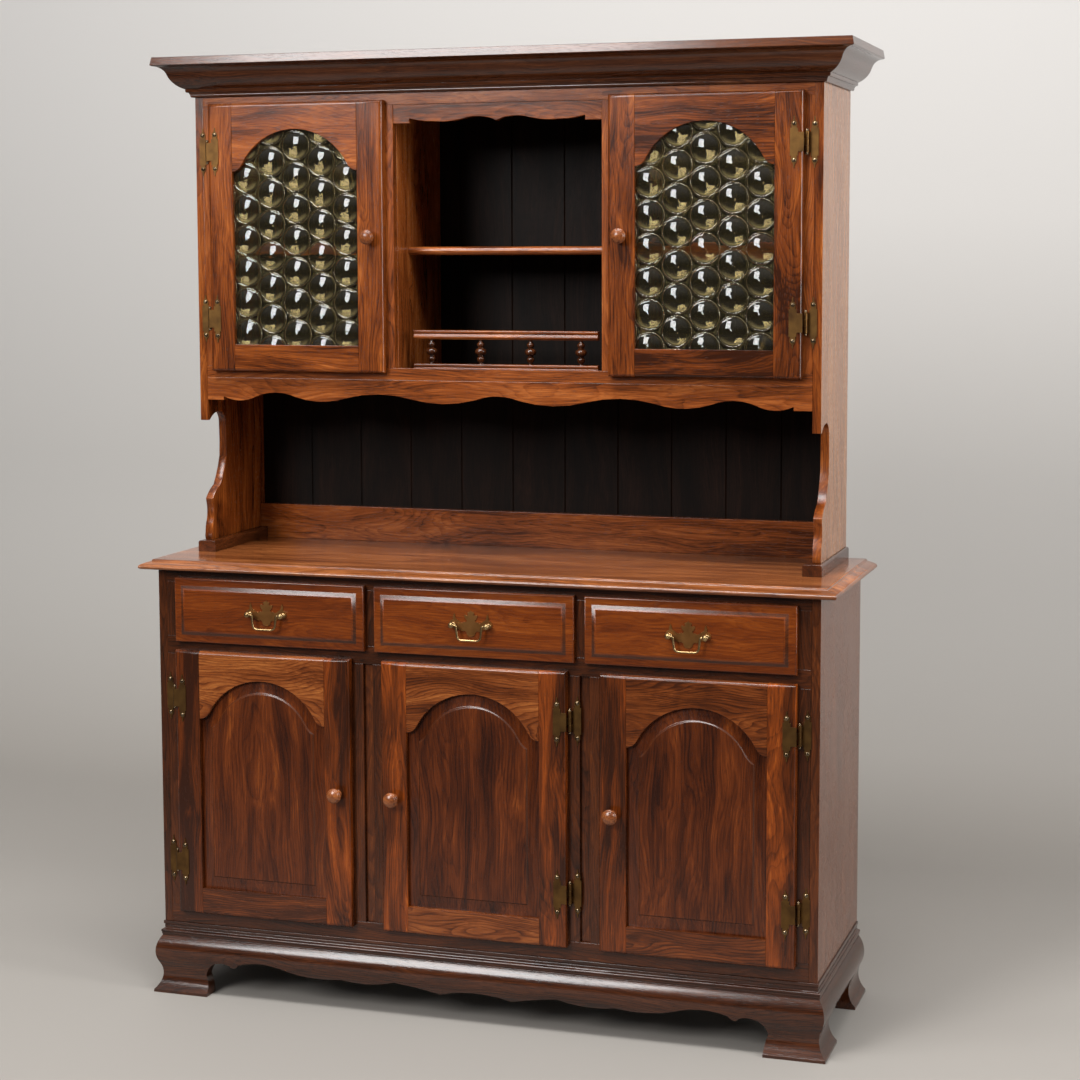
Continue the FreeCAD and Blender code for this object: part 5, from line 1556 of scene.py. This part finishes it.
@dataclass
class Base:
    """The base cabinet: its boards, its worktop and its plinth."""

    def __post_init__(self) -> None:
        """Take the cabinet's place from its side panels."""
        self.room = extent("base_sides")
        self.half = half_width("base_sides")

    def build_worktop(self) -> None:
        """A slab with a step and a thumbnail moulding on its front and ends."""
        room = extent("worktop")
        top = room.high
        low = room.low
        # how far each ring of the moulded edge is drawn in, and its height
        rings = (
            (5.0, low), (3.4, low + 0.5), (1.4, low + 1.9), (0.35, low + 3.6), (0.0, low + 5.2), (0.5, low + 6.8),
            (1.8, low + 8.6), (4.2, low + 10.3), (8.0, low + 12.0), (13.0, low + 13.7), (18.0, low + 15.0),
            (20.8, low + 15.7), (21.6, low + 16.2), (22.2, low + 17.2), (22.7, low + 18.4), (23.6, low + 19.5),
            (24.8, top),
        )

        def ring(margin: float) -> Outline:
            """The slab's outline drawn in on three sides."""
            return rectangle(room.left + margin, room.right - margin, room.front + margin, room.back)

        piece = stacked("worktop_slab", Plane.TOP, [(ring(margin), height) for margin, height in rings])
        smooth(piece, 35)
        dress(piece, Finish.WORKTOP, CASE, WOOD, ["worktop"], 0)

    def build_plinth(self) -> None:
        """The cap moulding, and the ogee boards that are sawn to scrolled feet."""
        cap = extent("plinth_cap_moulding")
        front = extent("plinth_front")
        inner = 22.0
        low = cap.low
        top = cap.high
        profile = [
            (-inner, low), (3.4, low), (4.4, low + 2.2, 1.0), (5.6, low + 8.0, 0.6), (4.0, low + 14.0, 2.2),
            (0.6, low + 19.0, -1.6), (0.8, low + 21.5), (2.4, low + 25.8, -1.2), (2.4, top - 1.5), (1.4, top, 0.5),
            (-inner, top),
        ]
        face = self.room.front
        back = self.room.back
        Moulding("plinth_cap", ("plinth_cap_moulding",), profile, self.half, face, back, Finish.MOULDING).build()

        toe = half_width("plinth_front") - self.half
        profile = [(-inner, 0), (toe, 0), (toe, 6.0), (9.0, low / 2, -9.5), (5.0, low, 9.5), (-inner, low)]
        ogee = Moulding(
            "plinth_ogee", ("plinth_front", "plinth_sides"), profile, self.half, face, back, Finish.MOULDING, 0.8
        )
        board_front, board_right = ogee.lengths()
        scroll = board("scroll", Plane.FRONT, self.front_scroll(toe), front.front - 10, inner + 60)
        cut(board_front, scroll)
        scroll = board("scroll", Plane.SIDE, self.side_scroll(toe), self.half - inner - 10, inner + toe + 30)
        cut(board_right, scroll)
        ogee.finish_lengths(board_front, board_right)

    def foot_curve(self, toe: float, way: int) -> Outline:
        """The inner edge of a bracket foot, from its toe up over the arch to the apron's point."""
        return [
            (toe, 0),
            (toe - 8 * way, 42, 2.5 * way),
            (toe + 32 * way, 75, -9.5 * way),
            (toe + 56 * way, 66, -3.0 * way),
        ]

    def front_scroll(self, toe: float) -> Outline:
        """What is sawn out under the front board."""
        start = self.half + toe - 126
        half: Outline = [(start, -5)] + self.foot_curve(start, -1)
        half += [
            (start - 72, 75, -3), (start - 186, 72, 9.5), (start - 309, 66, -7), (start - 430, 73, -8),
            (start - 530, 55, 2),
        ]
        return mirrored(half, 12)

    def side_scroll(self, toe: float) -> Outline:
        """What is sawn out under a side board."""
        near = self.room.front + 126 - toe
        far = self.room.back - 126
        rising = self.foot_curve(near, 1)
        falling = backwards(self.foot_curve(far, -1))
        return [(near, -5)] + rising + [falling[0][:2]] + falling[1:] + [(far, -5)]

    def build(self) -> None:
        """The whole cabinet."""
        boards = (
            PlainBoards("base_sides", Finish.SIDE, ease=1.2, along=2, front=Finish.STILE),
            # painted shade on the bottom and the shelves inside the case
            PlainBoards("base_bottom", Finish.INSIDE),
            PlainBoards("base_back", Finish.RAW, PLAIN, along=2),
            PlainBoards("base_frame_rails", Finish.STILE),
            PlainBoards("base_frame_stiles", Finish.STILE, along=2),
            PlainBoards("base_partitions", Finish.STILE, along=2),
            PlainBoards("base_shelves", Finish.INSIDE),
            PlainBoards("drawer_runners", Finish.RAW, PLAIN),
            PlainBoards("door_catches", Finish.LEAF, BRASS),
            PlainBoards("plinth_back_rail_and_blocks", Finish.RAW, PLAIN, along=0),
        )
        for boards_of in boards:
            boards_of.build()
        self.build_worktop()
        self.build_plinth()


# --- hutch ---


@dataclass
class Hutch:
    """The hutch: its case, its scrolled boards, its cornice and its plate gallery."""

    def __post_init__(self) -> None:
        """Take the hutch's place from its side panels."""
        self.room = extent("hutch_sides")
        self.half = half_width("hutch_sides")

    def build_cornice(self) -> None:
        """A bead, a cove and an ogee under a leaning top band."""
        room = extent("cornice")
        low = room.low
        top = room.high
        reach = half_width("cornice") - self.half
        profile = [
            (-20, low), (4.6, low), (6.6, low + 1.6, 0.7), (7.6, low + 5.2, 0.6), (8.6, low + 6.2),
            (14.0, low + 10.0, -1.6), (15.3, low + 12.0), (15.3, low + 17.0), (17.0, low + 17.4),
            (44.0, low + 46.0, 4.3), (67.0, low + 63.5, -4.8), (reach - 1.0, low + 64.6), (reach, low + 66.0, 0.4),
            (reach - 3.0, top - 1.2), (reach - 4.4, top, 0.5), (reach - 19, top), (-20, low + 30),
        ]
        front = self.room.front
        Moulding("cornice", ("cornice",), profile, self.half, front, room.back, Finish.MOULDING, 0.5).build()

    def build_sides(self) -> None:
        """Side panels that are sawn to a scrolled bracket between the hutch and its runner."""
        room = self.room
        front = room.front
        step = room.low + 263.0
        steps = [
            (room.back, room.low), (room.back, room.high), (front, room.high), (front, step), (front + 9, step),
            (front + 52, step + 16, -4), (front + 87, step - 14, -12), (front + 87, step - 85, -1.5),
            (front + 55, step - 146, -3), (front + 17, step - 173, 2.5), (front + 20, step - 184),
            (front + 20, step - 218, -2.5), (front + 12, step - 246, 1.5), (front + 13, room.low, 1.5),
        ]
        outline = [step_[:2] if len(step_) < 3 else step_ for step_ in steps]
        right = board("hutch_side_right", Plane.SIDE, outline, self.half - 18, 18)
        soften(right, 1.3)
        left = mirrored_copy(right, "hutch_side_left")
        # the outer faces get the paler copy of the hutch wood as painted sheen and side light; the other faces keep the
        # hutch wood
        for side, piece in ((1, right), (-1, left)):
            piece.data.materials.append(Finish.HUTCH.value.make())
            piece.data.materials.append(Finish.HUTCH_SIDE.value.make())
            for face in piece.data.polygons:
                face.material_index = int(face.normal.x * side > 0.7)
        dress(right, Finish.HUTCH_SIDE, CASE, WOOD, ["hutch_sides"], 2)
        dress(left, Finish.HUTCH_SIDE, CASE, WOOD, [], 2)

    def build_face_frame(self) -> None:
        """Two rails and, between them, a stile at each side of each glazed door."""
        room = extent("hutch_face_frame")
        door = extent("right_glass_door_frame")
        bay = extent("centre_valance")
        lap = 10
        low, high = door.low + lap, door.high - lap
        outlines = [rectangle(room.left, room.right, room.low, low), rectangle(room.left, room.right, high, room.high)]
        for left, right in ((door.right - lap, room.right), (bay.right, door.left + lap)):
            outlines += [rectangle(left, right, low, high), rectangle(-right, -left, low, high)]
        members = [board("member", Plane.FRONT, outline, room.front, room.back - room.front) for outline in outlines]
        piece = join("hutch_face_frame_boards", members)
        soften(piece, 0.8)
        # painted light: the paler copy of the hutch wood
        dress(piece, Finish.HUTCH_RAIL, CASE, WOOD, ["hutch_face_frame"])

    def build_valances(self) -> None:
        """The scrolled boards under the glazed doors and over the middle bay."""
        room = extent("lower_valance")
        points = room.low
        middle = points + 9.0
        inside = room.right
        half: Outline = [(inside, room.high), (inside, points), (inside - 38, points), (inside - 38, points + 8)]
        place = inside - 115
        half.append((place, middle, -9))
        for index, length in enumerate((93, 118, 146, 143)):
            place -= length
            half.append((place, middle, 9 if index % 2 == 0 else -9))
        piece = board("lower_valance_board", Plane.FRONT, mirrored(half, 9), room.front, room.back - room.front)
        soften(piece, 1.0)
        # painted light: the paler copy of the hutch wood
        dress(piece, Finish.HUTCH_RAIL, CASE, WOOD, ["lower_valance"], 0)

        room = extent("centre_valance")
        wide = room.right
        low = room.low
        half = [
            (wide, room.high), (wide, low), (wide - 36, low), (wide - 36, low + 10), (wide - 90, low + 3, -2),
            (74, low + 7, -2.5), (24, low + 10, 3), (0, low + 2, 1.5),
        ]
        piece = board("centre_valance_board", Plane.FRONT, mirrored(half), room.front, room.back - room.front)
        soften(piece, 1.0)
        # painted light: the paler copy of the hutch wood
        dress(piece, Finish.HUTCH_RAIL, CASE, WOOD, ["centre_valance"], 0)

    def build_gallery(self) -> None:
        """Two moulded rails with four turned spindles between them."""
        room = extent("plate_gallery")
        front = room.front + 3.5
        back = front + 17
        rail = 19.0
        pieces = []
        for base in (room.low, room.high - rail):
            profile = [
                (back, base), (back, base + rail - 1.5), (back - 1.5, base + rail, 0.5), (front + 4, base + rail),
                (front + 1.5, base + rail - 2.5, 0.7), (front + 1.5, base + 13), (front + 4, base + 12),
                (front + 1.4, base + 8, 0.6), (front + 0.2, base + 5, 0.5), (front + 1.4, base + 2, 0.5),
                (front + 3, base + 1.2), (front + 3, base),
            ]
            pieces.append(board("gallery_rail", Plane.SIDE, backwards(profile), -204, 408))
        for piece in pieces:
            soften(piece, 0.5)
        wood = Finish.HUTCH
        rails = join("plate_gallery_rails", pieces)
        dress(rails, wood, CASE, WOOD, ["plate_gallery"], 0)
        high = room.high - room.low - 2 * rail
        profile = [
            (0, 0), (4.4, 0), (4.0, high * 0.07, -0.3), (7.6, high * 0.18, 0.9), (7.0, high * 0.27, 0.8),
            (4.6, high * 0.315), (6.2, high * 0.335), (6.2, high * 0.355), (5.0, high * 0.37), (5.0, high * 0.64, 7.0),
            (6.2, high * 0.655), (6.2, high * 0.675), (4.6, high * 0.695), (7.8, high * 0.76, 0.9),
            (6.4, high * 0.86, 0.9), (3.6, high * 0.95, -0.5), (4.2, high), (0, high),
        ]
        spindles = []
        for index in range(4):
            foot = Vector((110.6 * (index - 1.5), (front + back) / 2, room.low + rail))
            spindles.append(turned("spindle", profile, foot, Vector((0, 0, 1))))
        piece = join("plate_gallery_spindles", spindles)
        smooth(piece, 35)
        dress(piece, Finish.MOULDING, CASE, WOOD, [], 2)

    def build(self) -> None:
        """The whole hutch."""
        boards = (
            # painted shade on the decks, and on the back boards' front faces
            PlainBoards("hutch_decks", Finish.INSIDE),
            # painted light on the dividers, shelves and niche rail: the paler copy of the hutch wood
            PlainBoards("hutch_dividers", Finish.HUTCH_RAIL, along=2),
            PlainBoards("hutch_shelves", Finish.HUTCH_RAIL, along=0),
            PlainBoards("hutch_back_boards", Finish.RAW, along=2, ease=0.6, front=Finish.INSIDE),
            PlainBoards("niche_back_rail", Finish.HUTCH_RAIL, along=0),
            PlainBoards("hutch_runners", Finish.STILE, along=1),
        )
        for boards_of in boards:
            boards_of.build()
        self.build_face_frame()
        self.build_sides()
        self.build_valances()
        self.build_cornice()
        self.build_gallery()


# --- the studio ---


@dataclass
class Studio:
    """A pale floor and backdrop, soft light and the camera."""

    camera_place: tuple[float, float, float] = (1.5376, -4.4773, 1.5995)
    yaw: float = 17.85
    pitch: float = -5.664
    roll: float = 0.165
    lens: float = 75.17
    shift: tuple[float, float] = (-0.0072, -0.0624)

    def build_camera(self) -> None:
        """The camera stands right of the middle, a little above the worktop."""
        data = bpy.data.cameras.new("camera")
        camera = bpy.data.objects.new("camera", data)
        bpy.context.scene.collection.objects.link(camera)
        camera.location = self.camera_place
        turn = Euler((math.radians(90 + self.pitch), 0, math.radians(self.yaw)), "XYZ").to_matrix()
        roll = Euler((0, 0, math.radians(-self.roll)), "XYZ").to_matrix()
        camera.rotation_euler = (turn @ roll).to_euler()
        data.sensor_width = 36
        data.lens = self.lens
        data.shift_x, data.shift_y = self.shift
        data.clip_end = 100
        bpy.context.scene.camera = camera

    def build_room(self) -> None:
        """A floor that curves up into a backdrop."""
        pen = Pen("backdrop", Plane.SIDE)
        pen.loop([(-9000, 0), (1500, 0), (2400, 900, 264), (2400, 6000)], -8000, closed=False)
        bpy.ops.mesh.select_all(action="SELECT")
        bpy.ops.mesh.extrude_edges_move(TRANSFORM_OT_translate={"value": (16, 0, 0)})
        backdrop = pen.finish()
        take(backdrop)
        bpy.ops.object.mode_set(mode="EDIT")
        bpy.ops.mesh.select_all(action="SELECT")
        bpy.ops.mesh.flip_normals()
        bpy.ops.object.mode_set(mode="OBJECT")
        take(backdrop)
        bpy.ops.object.shade_smooth()
        material = bpy.data.materials.new("painted studio wall")
        material.use_nodes = True
        tree = material.node_tree
        shader = tree.nodes["Principled BSDF"]
        # painted light and shade: darker on the floor and paler up the wall, over 3 m, and the floor darkens in painted
        # shade towards the room in front
        place = add_node(tree, "ShaderNodeTexCoord").outputs["Object"]
        axes = add_node(tree, "ShaderNodeSeparateXYZ", {0: place}).outputs
        height = add_node(tree, "ShaderNodeMath", {0: axes["Z"], 1: 0.333}, operation="MULTIPLY").outputs[0]
        wall_colour_and_painted_light = ramp(tree, height, ((0.0, linear("#8f8a84")), (0.3, linear("#b3b0ac")), (0.9, linear("#cfccc9"))))
        ahead = add_node(tree, "ShaderNodeMath", {0: axes["Y"], 1: 0.25, 2: 1.0}, operation="MULTIPLY_ADD").outputs[0]
        shade = ramp(tree, ahead, ((0.5, grey(0.12)), (0.8, grey(1.0))))
        inputs = {0: 1.0, 6: wall_colour_and_painted_light, 7: shade}
        wall_colour_and_painted_light = add_node(tree, "ShaderNodeMix", inputs, data_type="RGBA", blend_type="MULTIPLY").outputs[2]
        tree.links.new(wall_colour_and_painted_light, shader.inputs["Base Color"])
        shader.inputs["Roughness"].default_value = 0.7
        # the wall is seen from the object's side only, so that it hides nothing from behind
        behind = add_node(tree, "ShaderNodeNewGeometry").outputs["Backfacing"]
        clear = add_node(tree, "ShaderNodeBsdfTransparent").outputs[0]
        wall = add_node(tree, "ShaderNodeMixShader", {0: behind, 1: shader.outputs[0], 2: clear}).outputs[0]
        tree.links.new(wall, tree.nodes["Material Output"].inputs["Surface"])
        backdrop.data.materials.append(material)

    def build_lamp(self, name: str, place: tuple, aim: tuple, size: tuple, power: float) -> None:
        """A soft box at a place that faces its aim."""
        data = bpy.data.lights.new(name, "AREA")
        data.shape = "RECTANGLE"
        data.size, data.size_y = size
        data.energy = power
        lamp = bpy.data.objects.new(name, data)
        bpy.context.scene.collection.objects.link(lamp)
        lamp.location = place
        lamp.rotation_euler = (Vector(aim) - Vector(place)).to_track_quat("-Z", "Y").to_euler()

    def build(self) -> None:
        """The whole studio."""
        scene = bpy.context.scene
        scene.view_settings.view_transform = "Standard"
        world = bpy.data.worlds.new("studio")
        scene.world = world
        world.use_nodes = True
        tree = world.node_tree
        up = add_node(tree, "ShaderNodeTexCoord").outputs["Generated"]
        up = add_node(tree, "ShaderNodeSeparateXYZ", {0: up}).outputs["Z"]
        up = add_node(tree, "ShaderNodeMath", {0: up, 1: 0.5, 2: 0.5}, operation="MULTIPLY_ADD").outputs[0]
        sky = ramp(tree, up, ((0.0, grey(0.06)), (0.55, grey(0.06)), (0.75, grey(0.45)), (1.0, grey(1.0))))
        tree.links.new(sky, tree.nodes["Background"].inputs[0])
        self.build_room()
        self.build_lamp("key", (-2.2, -5.1, 3.85), (0, 0, 1.1), (2.0, 2.6), 275)
        self.build_lamp("side", (3.4, -0.7, 2.2), (0.5, 0, 1.4), (0.8, 2.2), 82)
        self.build_lamp("top", (0.0, -1.2, 3.9), (0, -0.1, 1.0), (2.6, 0.7), 120)
        self.build_camera()


def build_frame_leaves(doors: Sequence[Door]) -> None:
    """The hinge leaves, barrels and pins that stay on the frame, as one piece."""
    plates: list[bpy.types.Object] = []
    bright: list[bpy.types.Object] = []
    for door in doors:
        for hinge in door.hinges():
            more_plates, more_bright = hinge.frame_half()
            plates += more_plates
            bright += more_bright
    fit_metal("frame_hinge_leaves_and_screws", plates, bright, CASE, ["hinge_frame_leaves_and_pins"])


def main() -> None:
    """Build the studio and every part of the dresser."""
    logging.basicConfig(level=logging.INFO, format="%(name)s %(message)s")
    Studio().build()
    Base().build()
    Hutch().build()
    doors = (
        Door("left_base_door", -1, (0.04, 0.42, 0.12, 0.74, 0.6)),
        Door("middle_base_door", 1, (0.46, 0.4, 0.55, 0.5, 0.42)),
        Door("right_base_door", 1, (0.3, 0.68, 0.2, 0.34, 0.48)),
        Door("left_glass_door", -1, (0.4, 0.52, 0.4, 0.56, 0.5), glazed=True),
        Door("right_glass_door", 1, (0.42, 0.14, 0.2, 0.4, 0.5), glazed=True),
    )
    for door in doors:
        door.build()
    build_frame_leaves(doors)
    for side in ("left", "middle", "right"):
        Drawer(side).build()


if __name__ == "__main__":
    main()
